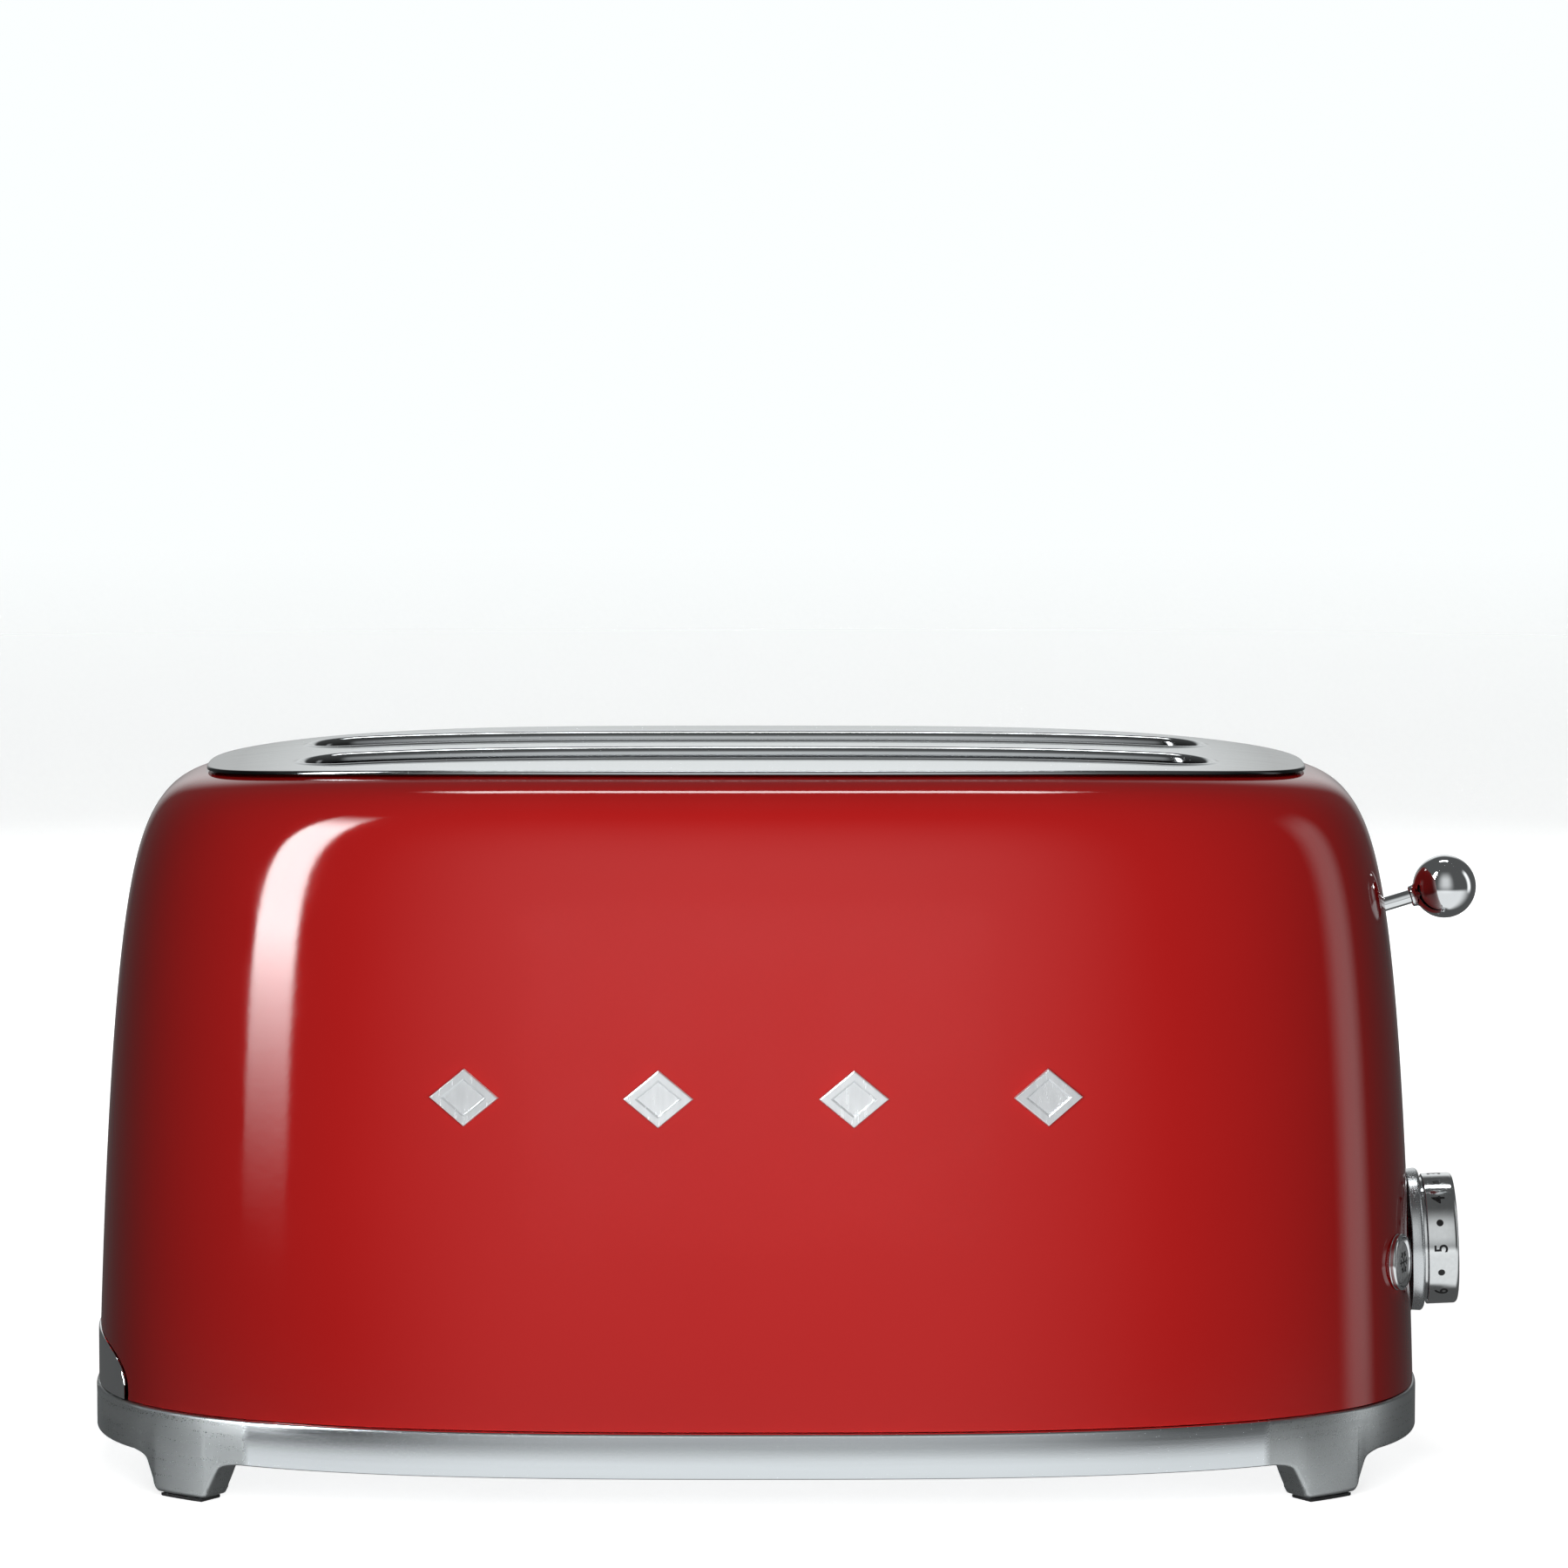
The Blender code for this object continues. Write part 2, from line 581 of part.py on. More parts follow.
def make_bread_guards():
    for place, y in guard_places().items():
        height = GUARD_TOP - GUARD_PIVOT_Z
        windows = [rectangle(x * 0.0305 - 0.0135, low, x * 0.0305 + 0.0135, low + 0.054)
                   for x in range(-3, 4) for low in (0.008, 0.066)]
        edge = rectangle(-0.1265, 0, 0.1265, height)
        guard = add_piece(f"bread_guard_{place}", flat_piece([edge, *windows], -0.0006, 0.0006, FACING_Y),
                          ZINC_STEEL, location=(0, y, GUARD_PIVOT_Z))
        join(guard, cylinder((-0.1345, 0, 0), (0.1345, 0, 0), GUARD_PIN_RADIUS, 10), solver="MANIFOLD")


def make_carriage():
    arm, near, far = 0.0045, BRACKET_X - 0.0008, BRACKET_X + 0.0008
    edge = rectangle(-0.036, RACK_TOP - 0.008, 0.036, 0.1580)
    bracket = add_piece("carriage_bracket", flat_piece([edge], near, far, FACING_X), ZINC_STEEL)
    rod_x, rod_y = GUIDE_ROD.x, GUIDE_ROD.y
    join(bracket, cylinder((rod_x, rod_y, 0.118), (rod_x, rod_y, 0.150), 0.0055),
         box((BRACKET_X, rod_y - 0.002, 0.120), (rod_x - 0.002, rod_y + 0.002, 0.148)),
         box((BRACKET_X, SPRING_CENTRE.y - 0.004, 0.1565), (0.153, SPRING_CENTRE.y + 0.004, 0.1580)))
    cut(bracket, cylinder((rod_x, rod_y, 0.110), (rod_x, rod_y, 0.160), GUIDE_ROD_RADIUS + 0.0004))

    for name, y in (("bread_rack_front", -SLOT_Y), ("bread_rack_rear", SLOT_Y)):
        shelf = box((-0.126, y - 0.008, RACK_TOP - 0.0046), (0.126, y + 0.008, RACK_TOP - 0.0030))
        rack = add_piece(name, shelf, ZINC_STEEL)
        reach = near - GAP
        join(rack, box((-reach, y - arm / 2, RACK_TOP - 0.0060), (reach, y + arm / 2, RACK_TOP - 0.0040)))
        join(rack, *[box((x - 0.004, y - 0.006, RACK_TOP - 0.0040), (x + 0.004, y + 0.006, RACK_TOP))
                     for x in (0.025 * k for k in range(-4, 5))])
    yoke = rectangle(-0.036, RACK_TOP - 0.010, 0.036, RACK_TOP + 0.004)
    add_piece("carriage_yoke", flat_piece([yoke], -far, -near, FACING_X), ZINC_STEEL)
    add_piece("armature_plate", box((far + GAP, 0.021, 0.1080), (0.157, 0.037, 0.1115)), ZINC_STEEL)


def make_lever():
    along = Vector((math.cos(ROD_TILT), 0, math.sin(ROD_TILT)))
    start_x = BRACKET_X + 0.0024
    start = BALL_CENTRE - along * (BALL_CENTRE.x - start_x) / along.x
    end = BALL_CENTRE - along * 0.0030
    add_piece("lever_rod", cylinder(start, end, ROD_RADIUS, 16), POLISHED_STEEL, smooth=True)
    bm = bmesh.new()
    turn = along.to_track_quat("Z", "Y").to_matrix().to_4x4()
    bmesh.ops.create_uvsphere(bm, u_segments=20, v_segments=12, radius=BALL_RADIUS)
    ball = add_piece("lever_ball", mesh_of(bm), CHROME, smooth=True, location=BALL_CENTRE)
    bore = cylinder((0, 0, -0.012), (0, 0, -0.0026), ROD_RADIUS + GAP, 16)
    bore.transform(turn)
    cut(ball, bore)


def make_guide_rod():
    start = (GUIDE_ROD.x, GUIDE_ROD.y, CHASSIS_BOTTOM + SHEET + GAP)
    end = (GUIDE_ROD.x, GUIDE_ROD.y, CHASSIS_TOP - SHEET - GAP)
    add_piece("guide_rod", cylinder(start, end, GUIDE_ROD_RADIUS, 16), POLISHED_STEEL, smooth=True)


def make_return_spring():
    low, high = 0.1580 + GAP + SPRING_WIRE, CHASSIS_TOP - SHEET - GAP - SPRING_WIRE
    steps_per_turn = 9
    curve = bpy.data.curves.new("return_spring", "CURVE")
    curve.dimensions = "3D"
    curve.bevel_depth = SPRING_WIRE
    curve.bevel_resolution = 1
    curve.use_fill_caps = True
    spline = curve.splines.new("POLY")
    count = SPRING_TURNS * steps_per_turn + 1
    spline.points.add(count - 1)
    for k, point in enumerate(spline.points):
        angle = 2 * math.pi * k / steps_per_turn
        point.co = (SPRING_CENTRE.x + SPRING_RADIUS * math.cos(angle),
                    SPRING_CENTRE.y + SPRING_RADIUS * math.sin(angle),
                    low + (high - low) * k / (count - 1), 1)
    add_piece("return_spring", curve_to_mesh(curve), POLISHED_STEEL, smooth=True)


def make_crumb_tray():
    wall = 0.0008
    reach, width, top = 0.126, TRAY_HALF_WIDTH, TRAY_FLOOR_Z + 0.0045
    near = -ring_point(math.pi).x
    back = -(near - 0.0105)
    tray = add_piece("crumb_tray", box((back, -width, TRAY_FLOOR_Z), (reach, width, top)), ZINC_STEEL)
    hollow = box((back + wall, -width + wall, TRAY_FLOOR_Z + wall), (reach - wall, width - wall, top + 0.01))
    cut(tray, hollow)
    join(tray, box((-0.1855, -0.018, TRAY_FLOOR_Z), (back + 0.0004, 0.018, TRAY_FLOOR_Z + 0.003)))


def make_crumb_tray_pull():
    """An arch that fills the tray's mouth and follows the outline of the ring."""
    outer_inset, inner_inset = 0.0007, 0.0022
    base = RING_TOP + GAP
    stations = []
    for k in range(21):
        y = ARCH_HALF_WIDTH * 0.985 * math.cos(math.pi * k / 20)
        turn = math.pi - math.copysign(math.asin((abs(y) / RING_HALF_DEPTH) ** (PLAN_POWER / 2)), y)
        top = RING_TOP + ARCH_HEIGHT * arch_rise(y / ARCH_HALF_WIDTH)
        stations.append([ring_point(turn, outer_inset, base), ring_point(turn, outer_inset, top),
                         ring_point(turn, inner_inset, top), ring_point(turn, inner_inset, base)])
    add_piece("crumb_tray_pull", loft(stations), CHROME, smooth=True)


# ---------------------------------------------------------------- controls

def make_knob(frame):
    turned("knob_bezel", [(0.0194, 0.0040), (0.0202, 0.0040), (0.0208, 0.0004), (0.0050, 0.0004),
                          (0.0050, 0.0013), (0.0190, 0.0013)], SATIN_METAL, closed=True, parent=frame)
    knob = turned("browning_knob", [(0, 0.0118), (0.0150, 0.0118), (0.0162, 0.0140), (0.0173, 0.0140),
                                    (KNOB_RADIUS, 0.0126), (KNOB_RADIUS, 0.0050), (0.0176, 0.0050),
                                    (0.0176, 0.0020), (0.0033, 0.0020), (0.0033, 0.0102), (0, 0.0102)],
                  CHROME, parent=frame)
    join(knob, box((-0.0035, -0.0140, 0.0114), (0.0035, 0.0140, 0.0138)))
    turned("potentiometer_body", [(0.0034, -0.0024), (0.0044, -0.0024), (0.0044, -0.0080),
                                  (0.0085, -0.0080), (0.0085, -0.0172), (0.0034, -0.0172)],
           ZINC_STEEL, steps=24, closed=True, parent=frame)
    shaft = cylinder((0, 0, -0.0165), (0, 0, 0.0098), 0.0030)
    add_piece("potentiometer_shaft", shaft, ZINC_STEEL, smooth=True, parent=frame)
    add_piece("control_board", flat_piece([rectangle(-0.048, -0.024, 0.048, 0.022)], -0.0191, -0.0175),
              CIRCUIT_BOARD, parent=frame)


def make_buttons(knob_frame, button_frames):
    for name, frame, side in zip(("defrost", "cancel"), button_frames, (-1, 1)):
        bezel = [(0.0067, 0.0016), (0.0072, 0.0022), (0.0078, 0.0019), (0.0081, 0.0004), (0.0067, 0.0004)]
        turned(f"{name}_button_bezel", bezel, CHROME, steps=28, closed=True, parent=frame)
        button = [(0, 0.0022), (0.0048, 0.0021), (BUTTON_RADIUS, 0.0014), (BUTTON_RADIUS, -0.0036),
                  (0.0016, -0.0036), (0.0016, -0.0054), (0, -0.0054)]
        turned(f"{name}_button", button, PALE_PLASTIC, steps=28, parent=frame)
        y, z = side * (BUTTON_Y - 0.0030), BUTTON_Z - KNOB_Z
        case = box((y - 0.0035, z - 0.0035, -0.0172), (y + 0.0035, z + 0.0035, -0.0138))
        switch = add_piece(f"{name}_switch", case, BLACK_PLASTIC, parent=knob_frame)
        join(switch, cylinder((y, z, -0.0140), (y, z, -0.0128), 0.0017, 16))


def make_electrics():
    core = box((0.143, 0.024, 0.0171), (0.155, 0.034, 0.0427))
    add_piece("electromagnet_core", core, ZINC_STEEL)
    winding = [rectangle(0.1395, 0.0205, 0.1585, 0.0375), rectangle(0.1426, 0.0236, 0.1554, 0.0344)]
    add_piece("electromagnet_coil", flat_piece(winding, 0.0195, 0.0390), COPPER_WINDING)
    case = box((0.142, -0.0495, 0.0171), (0.157, -0.034, 0.0350))
    block = add_piece("power_switch_block", case, BLACK_PLASTIC)
    join(block, box((0.144, -0.047, 0.0345), (0.154, -0.0455, 0.0380)),
         box((0.144, -0.0405, 0.0345), (0.154, -0.039, 0.0380)))
    case = box((-0.158, 0.046, 0.0150), (-0.1485, 0.066, 0.0330))
    terminal = add_piece("mains_terminal_block", case, PALE_PLASTIC)
    cut(terminal, *[cylinder((-0.15325, y, 0.026), (-0.15325, y, 0.040), 0.0022, 12)
                    for y in (0.0505, 0.0560, 0.0615)])


def make_cord_gland():
    gland = turned("cord_gland", [(0.0040, 0.0200), (0.0060, 0.0200), (0.0060, 0.0134), (0.0085, 0.0134),
                                  (0.0080, 0.0110), (0.0040, 0.0110)], BLACK_PLASTIC, steps=24, closed=True)
    gland.location = (-0.118, 0.073, 0)


def main():
    knob_frame = surface_frame("knob_axis", 0.0, KNOB_Z)
    button_frames = [surface_frame(f"{name}_button_axis", side * BUTTON_Y, BUTTON_Z)
                     for name, side in (("defrost", -1), ("cancel", 1))]
    make_outer_shell(knob_frame, button_frames)
    make_top_plate()
    make_base_ring()
    make_foot_pads()
    make_bottom_plate()
    make_emblems()
    make_end_plates()
    make_heat_shields()
    make_heaters()
    make_tray_rails()
    make_base_screws()
    make_bread_guards()
    make_carriage()
    make_lever()
    make_guide_rod()
    make_return_spring()
    make_crumb_tray()
    make_crumb_tray_pull()
    make_knob(knob_frame)
    make_buttons(knob_frame, button_frames)
    make_electrics()
    make_cord_gland()


main()
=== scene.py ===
"""Looks of the pop-up toaster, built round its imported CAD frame.

Metres, +Z up, in the frame of the CAD. The lever, the knob and the buttons are at the +X end.
"""

import json
import math

import bmesh
import bpy
import numpy as np
from mathutils import Matrix, Vector, geometry


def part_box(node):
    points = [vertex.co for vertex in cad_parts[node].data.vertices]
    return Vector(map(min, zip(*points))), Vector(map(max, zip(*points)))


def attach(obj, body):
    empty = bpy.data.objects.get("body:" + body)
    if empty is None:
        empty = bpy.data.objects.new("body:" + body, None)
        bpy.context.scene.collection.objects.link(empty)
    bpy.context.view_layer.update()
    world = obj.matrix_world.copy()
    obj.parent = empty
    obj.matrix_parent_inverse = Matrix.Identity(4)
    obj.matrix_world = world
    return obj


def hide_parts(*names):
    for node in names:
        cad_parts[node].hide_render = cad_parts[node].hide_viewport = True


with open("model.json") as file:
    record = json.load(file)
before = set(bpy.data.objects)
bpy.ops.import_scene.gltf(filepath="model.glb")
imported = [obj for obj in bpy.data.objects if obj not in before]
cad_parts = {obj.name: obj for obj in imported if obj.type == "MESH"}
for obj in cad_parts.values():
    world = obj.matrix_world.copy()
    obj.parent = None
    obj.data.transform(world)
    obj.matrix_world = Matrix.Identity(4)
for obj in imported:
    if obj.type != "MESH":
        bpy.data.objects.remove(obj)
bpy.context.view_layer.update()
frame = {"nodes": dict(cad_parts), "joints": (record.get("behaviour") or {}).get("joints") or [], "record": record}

# ---------------------------------------------------------------- sizes shared with the CAD frame

GAP = 0.0003
PLAN_POWER = 2.8
RING_LOW, RING_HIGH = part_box("base_ring")
CENTRE_X = (RING_LOW.x + RING_HIGH.x) / 2
RING_HALF_LENGTH = (RING_HIGH.x - RING_LOW.x) / 2
RING_HALF_DEPTH = (RING_HIGH.y - RING_LOW.y) / 2
RING_TOP = RING_HIGH.z
RING_BOTTOM = 0.0119
SOLE = RING_LOW.z
FOOT_X = 0.1613
FOOT_DEPTH = 0.0108
FLANGE_DEPTH = 0.0085

SHELL_HALF_LENGTH, SHELL_HALF_DEPTH = 0.1878, 0.1025
SHELL_FOOT, SHELL_CROWN = 0.0218, 0.2026
SHELL_LEAN, SHELL_SQUARENESS = 1.1, 28.7
SHELL_SHEET = 0.0009
END_DROP = 0.0084

PLATE_LOW, PLATE_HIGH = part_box("top_plate")
PLATE_HALF_LENGTH = (PLATE_HIGH.x - PLATE_LOW.x) / 2
PLATE_HALF_DEPTH = (PLATE_HIGH.y - PLATE_LOW.y) / 2
PLATE_RISE, PLATE_SEAT, PLATE_SHEET = 0.0010, 0.0008, 0.0010
PLATE_OVERLAP = 0.0030
SLOT_LENGTH, SLOT_WIDTH, SLOT_Y = 0.2535, 0.0250, 0.0245
LIP_DEPTH = 0.0085
LEVER_SLOT_WIDTH = 0.0064
KNOB_RADIUS = 0.0187
GUARD_PIN_RADIUS = 0.00125
ON_AXIS = 0.00001  # smallest radius of a turned profile
SHAFT_HOLE_RADIUS, BUTTON_HOLE_RADIUS = 0.0048, 0.0067

SLOT_OF = {part["node"]: part["material_slot"] for part in frame["record"]["subparts"]}
JOINTS = {joint["name"]: joint for joint in frame["joints"]}


# ---------------------------------------------------------------- procedural materials

class Shading:
    """Short names for the nodes of one shader tree."""

    def __init__(self, tree):
        self.nodes, self.link = tree.nodes, tree.links.new

    def feed(self, socket, value):
        """Sets a socket to a constant, or links another socket to it."""
        if isinstance(value, bpy.types.NodeSocket):
            self.link(value, socket)
        else:
            socket.default_value = value

    def add(self, kind, **inputs):
        """A new node. An underscore in an input's name stands for a space."""
        node = self.nodes.new("ShaderNode" + kind)
        for name, value in inputs.items():
            self.feed(node.inputs[name.replace("_", " ")], value)
        return node

    def math(self, operation, *values):
        node = self.add("Math")
        node.operation = operation
        for socket, value in zip(node.inputs, values):
            self.feed(socket, value)
        return node.outputs["Value"]

    def axes(self, vector):
        apart = self.add("SeparateXYZ", Vector=vector)
        return [apart.outputs[axis] for axis in "XYZ"]


class Paint(Shading):
    """A material with one Principled shader."""

    def __init__(self, name, colour, roughness, **constants):
        self.material = bpy.data.materials.new(name)
        self.material.use_nodes = True
        super().__init__(self.material.node_tree)
        self.shader = self.nodes["Principled BSDF"]
        self.shader.inputs["Base Color"].default_value = (*colour, 1)
        self.shader.inputs["Roughness"].default_value = roughness
        for socket, value in constants.items():
            self.shader.inputs[socket.replace("_", " ")].default_value = value
        self.place = self.add("TexCoord").outputs["Object"]

    def spots(self, stretch):
        """Where a pattern is looked up, stretched if a scale for each axis is given."""
        if not stretch:
            return self.place
        return self.add("Mapping", Scale=stretch, Vector=self.place).outputs["Vector"]

    def noise(self, scale, detail=2.0, stretch=None):
        return self.add("TexNoise", Scale=scale, Detail=detail, Vector=self.spots(stretch)).outputs["Fac"]

    def cells(self, scale, output="Distance", feature="F1", stretch=None):
        node = self.add("TexVoronoi", Scale=scale, Vector=self.spots(stretch))
        node.feature = feature
        return node.outputs[output]

    def bands(self, scale, direction):
        node = self.add("TexWave", Scale=scale, Vector=self.place)
        node.bands_direction = direction
        return node.outputs["Fac"]

    def between(self, source, low, high, start=0.3, end=0.7):
        """The source mapped so that start gives low and end gives high."""
        node = self.add("MapRange", Value=source, From_Min=start, From_Max=end, To_Min=low, To_Max=high)
        return node.outputs["Result"]

    def blend(self, source, *colours, start=0.3, end=0.7):
        """A colour ramp over the source."""
        node = self.add("ValToRGB", Fac=source)
        elements = node.color_ramp.elements
        while len(elements) < len(colours):
            elements.new(0.5)
        for k, colour in enumerate(colours):
            elements[k].position = start + (end - start) * k / (len(colours) - 1)
            elements[k].color = (*colour, 1)
        return node.outputs["Color"]

    def drive(self, socket, source):
        self.link(source, self.shader.inputs[socket])

    def colour(self, source, *colours, **limits):
        self.drive("Base Color", self.blend(source, *colours, **limits))

    def roughness(self, source, low, high, **limits):
        self.drive("Roughness", self.between(source, low, high, **limits))

    def bump(self, height, strength, distance, after=None):
        """A bump on the surface, laid over the bump given as after."""
        inputs = {"Normal": after} if after else {}
        node = self.add("Bump", Strength=strength, Distance=distance, Height=height, **inputs)
        self.drive("Normal", node.outputs["Normal"])
        return node.outputs["Normal"]


def grained(name, colour, roughness, grain, colours, roughs, depth, **constants):
    """A material whose colour, roughness and height all follow one noise."""
    paint = Paint(name, colour, roughness, **constants)
    pattern = paint.noise(*grain)
    paint.colour(pattern, *colours)
    paint.roughness(pattern, *roughs)
    paint.bump(pattern, *depth)
    return paint.material


def moulded(name, dark, light, rough, grain_scale=1300, depth=0.12):
    """A moulded plastic with a fine spark-eroded grain."""
    return grained(name, light, rough, (grain_scale, 4), (dark, light), (rough - 0.06, rough + 0.08),
                   (depth, 0.00008))


def red_enamel():
    paint = Paint("red_enamel", (0.50, 0.011, 0.010), 0.06, IOR=1.5)
    paint.colour(paint.noise(9, 3), (0.490, 0.0100, 0.0092), (0.515, 0.0118, 0.0108))
    paint.roughness(paint.noise(60, 5), 0.045, 0.085)
    peel = paint.bump(paint.noise(420, 2), 0.05, 0.00012)
    paint.bump(paint.noise(45, 1), 0.04, 0.0004, after=peel)
    return paint.material


def polished_steel():
    """Bright on top, with painted shade that darkens the colour down inside the bread slots."""
    paint = Paint("polished_steel", (0.74, 0.76, 0.79), 0.10, Metallic=1.0)
    streaks = paint.noise(6, 4, stretch=(1, 220, 60))
    height = paint.axes(paint.place)[2]
    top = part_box("top_plate")[1].z
    # outside is a painted shade mask: the colour fades almost to black down inside the bread slots; a random tone
    # is laid over it.
    outside = paint.between(height, 0.06, 1.0, start=top - 0.0045, end=top - 0.0018)
    painted_slot_shade_and_tone = paint.math("MULTIPLY", outside, paint.between(paint.noise(22, 3), 0.93, 1.0))
    paint.colour(painted_slot_shade_and_tone, (0.0, 0.0, 0.0), (0.77, 0.79, 0.81), start=0.0, end=1.0)
    paint.roughness(streaks, 0.06, 0.15)
    paint.bump(streaks, 0.03, 0.00005)
    return paint.material


def chrome():
    paint = Paint("chrome", (0.86, 0.87, 0.885), 0.05, Metallic=1.0)
    paint.colour(paint.noise(70, 3), (0.84, 0.85, 0.87), (0.89, 0.90, 0.91))
    paint.roughness(paint.noise(160, 5), 0.025, 0.075)
    paint.bump(paint.noise(300, 2), 0.02, 0.0001)
    return paint.material


def satin_ring():
    """Satin band that gets a cast grain towards the feet."""
    paint = Paint("satin_ring", (0.70, 0.72, 0.74), 0.22, Metallic=1.0, Anisotropic=0.4)
    across = paint.math("ABSOLUTE", paint.math("SUBTRACT", paint.axes(paint.place)[0], CENTRE_X))
    cast = paint.between(across, 0.0, 1.0, start=0.1405, end=0.1425)
    grain = paint.noise(2600, 3)
    streaks = paint.noise(900, 2, stretch=(0.02, 0.02, 1))
    paint.colour(cast, (0.78, 0.81, 0.84), (0.52, 0.54, 0.55), start=0.0, end=1.0)
    coarse = paint.math("MULTIPLY", cast, paint.between(grain, 0.5, 1.0))
    paint.drive("Roughness", paint.math("MULTIPLY_ADD", coarse, 0.20, paint.between(streaks, 0.14, 0.19)))
    fine = paint.bump(streaks, 0.04, 0.00006)
    pitted = paint.math("MULTIPLY", grain, paint.between(cast, 0.15, 1.0, start=0.0, end=1.0))
    paint.bump(pitted, 0.35, 0.00012, after=fine)
    tangent = paint.add("Tangent")
    tangent.direction_type = "RADIAL"
    tangent.axis = "Z"
    paint.drive("Tangent", tangent.outputs["Tangent"])
    return paint.material


def zinc_steel():
    paint = Paint("zinc_steel", (0.55, 0.56, 0.57), 0.38, Metallic=1.0)
    spangle = paint.cells(150, "Color")
    paint.colour(spangle, (0.44, 0.45, 0.47), (0.60, 0.61, 0.62), start=0.1, end=0.9)
    paint.roughness(spangle, 0.30, 0.46, start=0.0, end=1.0)
    paint.bump(paint.noise(500, 4), 0.10, 0.0001)
    return paint.material


def mica():
    paint = Paint("mica", (0.52, 0.45, 0.34), 0.45)
    flakes = paint.cells(260, "Color", stretch=(1, 1, 0.6))
    paint.colour(flakes, (0.36, 0.29, 0.20), (0.56, 0.49, 0.38), (0.70, 0.64, 0.52), start=0.1, end=0.9)
    paint.roughness(flakes, 0.25, 0.60, start=0.0, end=1.0)
    paint.bump(paint.cells(260, stretch=(1, 1, 0.6)), 0.15, 0.0001)
    return paint.material


def heater_alloy():
    paint = Paint("heater_alloy", (0.38, 0.34, 0.31), 0.45, Metallic=1.0)
    tint = paint.noise(130, 4)
    paint.colour(tint, (0.25, 0.22, 0.22), (0.46, 0.38, 0.30), (0.40, 0.38, 0.40))
    paint.roughness(tint, 0.38, 0.60)
    paint.bump(paint.noise(900, 3), 0.15, 0.00005)
    return paint.material


def circuit_board():
    paint = Paint("circuit_board", (0.02, 0.14, 0.06), 0.40)
    tracks = paint.cells(320, "Distance", "DISTANCE_TO_EDGE", stretch=(0, 1, 1))
    paint.colour(tracks, (0.05, 0.26, 0.10), (0.015, 0.11, 0.045), start=0.06, end=0.14)
    paint.roughness(paint.noise(700, 3), 0.32, 0.50)
    paint.bump(tracks, 0.2, 0.00006)
    return paint.material


def copper_winding():
    paint = Paint("copper_winding", (0.45, 0.17, 0.06), 0.30, Metallic=1.0)
    turns = paint.bands(620, "Z")
    # Painted shade: the colour darkens in the grooves between the turns, where the bump sinks.
    paint.colour(turns, (0.16, 0.05, 0.02), (0.55, 0.22, 0.08), start=0.0, end=0.8)
    paint.roughness(paint.noise(400, 3), 0.24, 0.40)
    paint.bump(turns, 0.6, 0.0002)
    return paint.material


def bright_wire():
    paint = Paint("bright_wire", (0.62, 0.61, 0.60), 0.28, Metallic=1.0)
    heat = paint.noise(45, 4)
    paint.colour(heat, (0.50, 0.46, 0.40), (0.66, 0.66, 0.67))
    paint.roughness(heat, 0.22, 0.38)
    paint.bump(paint.noise(1200, 2), 0.06, 0.00005)
    return paint.material


RED_ENAMEL = red_enamel()
POLISHED_STEEL = polished_steel()
CHROME = chrome()
SATIN_RING = satin_ring()
SATIN_BEZEL = grained("satin_bezel", (0.74, 0.76, 0.78), 0.26, (2400, 3),
                      ((0.70, 0.72, 0.74), (0.78, 0.80, 0.82)), (0.22, 0.32), (0.12, 0.00008), Metallic=1.0)
ZINC_STEEL = zinc_steel()
EMBLEM_METAL = grained("emblem_metal", (0.80, 0.82, 0.84), 0.22, (700, 3, (1, 1, 0.15)),
                       ((0.76, 0.78, 0.80), (0.84, 0.86, 0.88)), (0.16, 0.30), (0.06, 0.00006),
                       Metallic=0.45)
KNOB_METAL = grained("knob_metal", (0.80, 0.81, 0.82), 0.09, (900, 3),
                     ((0.78, 0.79, 0.80), (0.83, 0.84, 0.85)), (0.06, 0.13), (0.03, 0.00005), Metallic=1.0)
BRIGHT_WIRE = bright_wire()
RUBBER = grained("rubber", (0.016, 0.016, 0.017), 0.75, (1500, 4),
                 ((0.010, 0.010, 0.011), (0.026, 0.026, 0.027)), (0.65, 0.85), (0.30, 0.00015))
BLACK_PLASTIC = moulded("black_plastic", (0.012, 0.012, 0.014), (0.028, 0.028, 0.031), 0.40)
PALE_PLASTIC = moulded("pale_plastic", (0.70, 0.72, 0.74), (0.80, 0.81, 0.82), 0.28, 900, 0.04)
BLACK_PRINT = moulded("black_print", (0.004, 0.004, 0.005), (0.010, 0.010, 0.011), 0.42, 2500, 0.05)
MATERIAL_OF_SLOT = {
    "red_paint": RED_ENAMEL, "polished_steel": POLISHED_STEEL, "satin_metal": SATIN_BEZEL, "chrome": CHROME,
    "zinc_steel": ZINC_STEEL, "rubber": RUBBER, "mica": mica(), "heater_alloy": heater_alloy(),
    "black_plastic": BLACK_PLASTIC, "pale_plastic": PALE_PLASTIC, "circuit_board": circuit_board(),
    "copper_winding": copper_winding(),
}


def dress_frame():
    """Every CAD node gets the procedural material of its slot."""
    for name, node in frame["nodes"].items():
        node.data.materials.clear()
        node.data.materials.append(MATERIAL_OF_SLOT[SLOT_OF[name]])


# ---------------------------------------------------------------- mesh helpers

def mesh_from(verts, faces, outward=True):
    mesh = bpy.data.meshes.new("piece")
    mesh.from_pydata([tuple(v) for v in verts], [], faces)
    if outward:
        bm = bmesh.new()
        bm.from_mesh(mesh)
        bmesh.ops.recalc_face_normals(bm, faces=bm.faces)
        bm.to_mesh(mesh)
        bm.free()
    return mesh


def put(name, data):
    """A new object in the scene."""
    thing = bpy.data.objects.new(name, data)
    bpy.context.scene.collection.objects.link(thing)
    return thing


def evaluated_mesh(thing):
    return bpy.data.meshes.new_from_object(thing.evaluated_get(bpy.context.evaluated_depsgraph_get()))


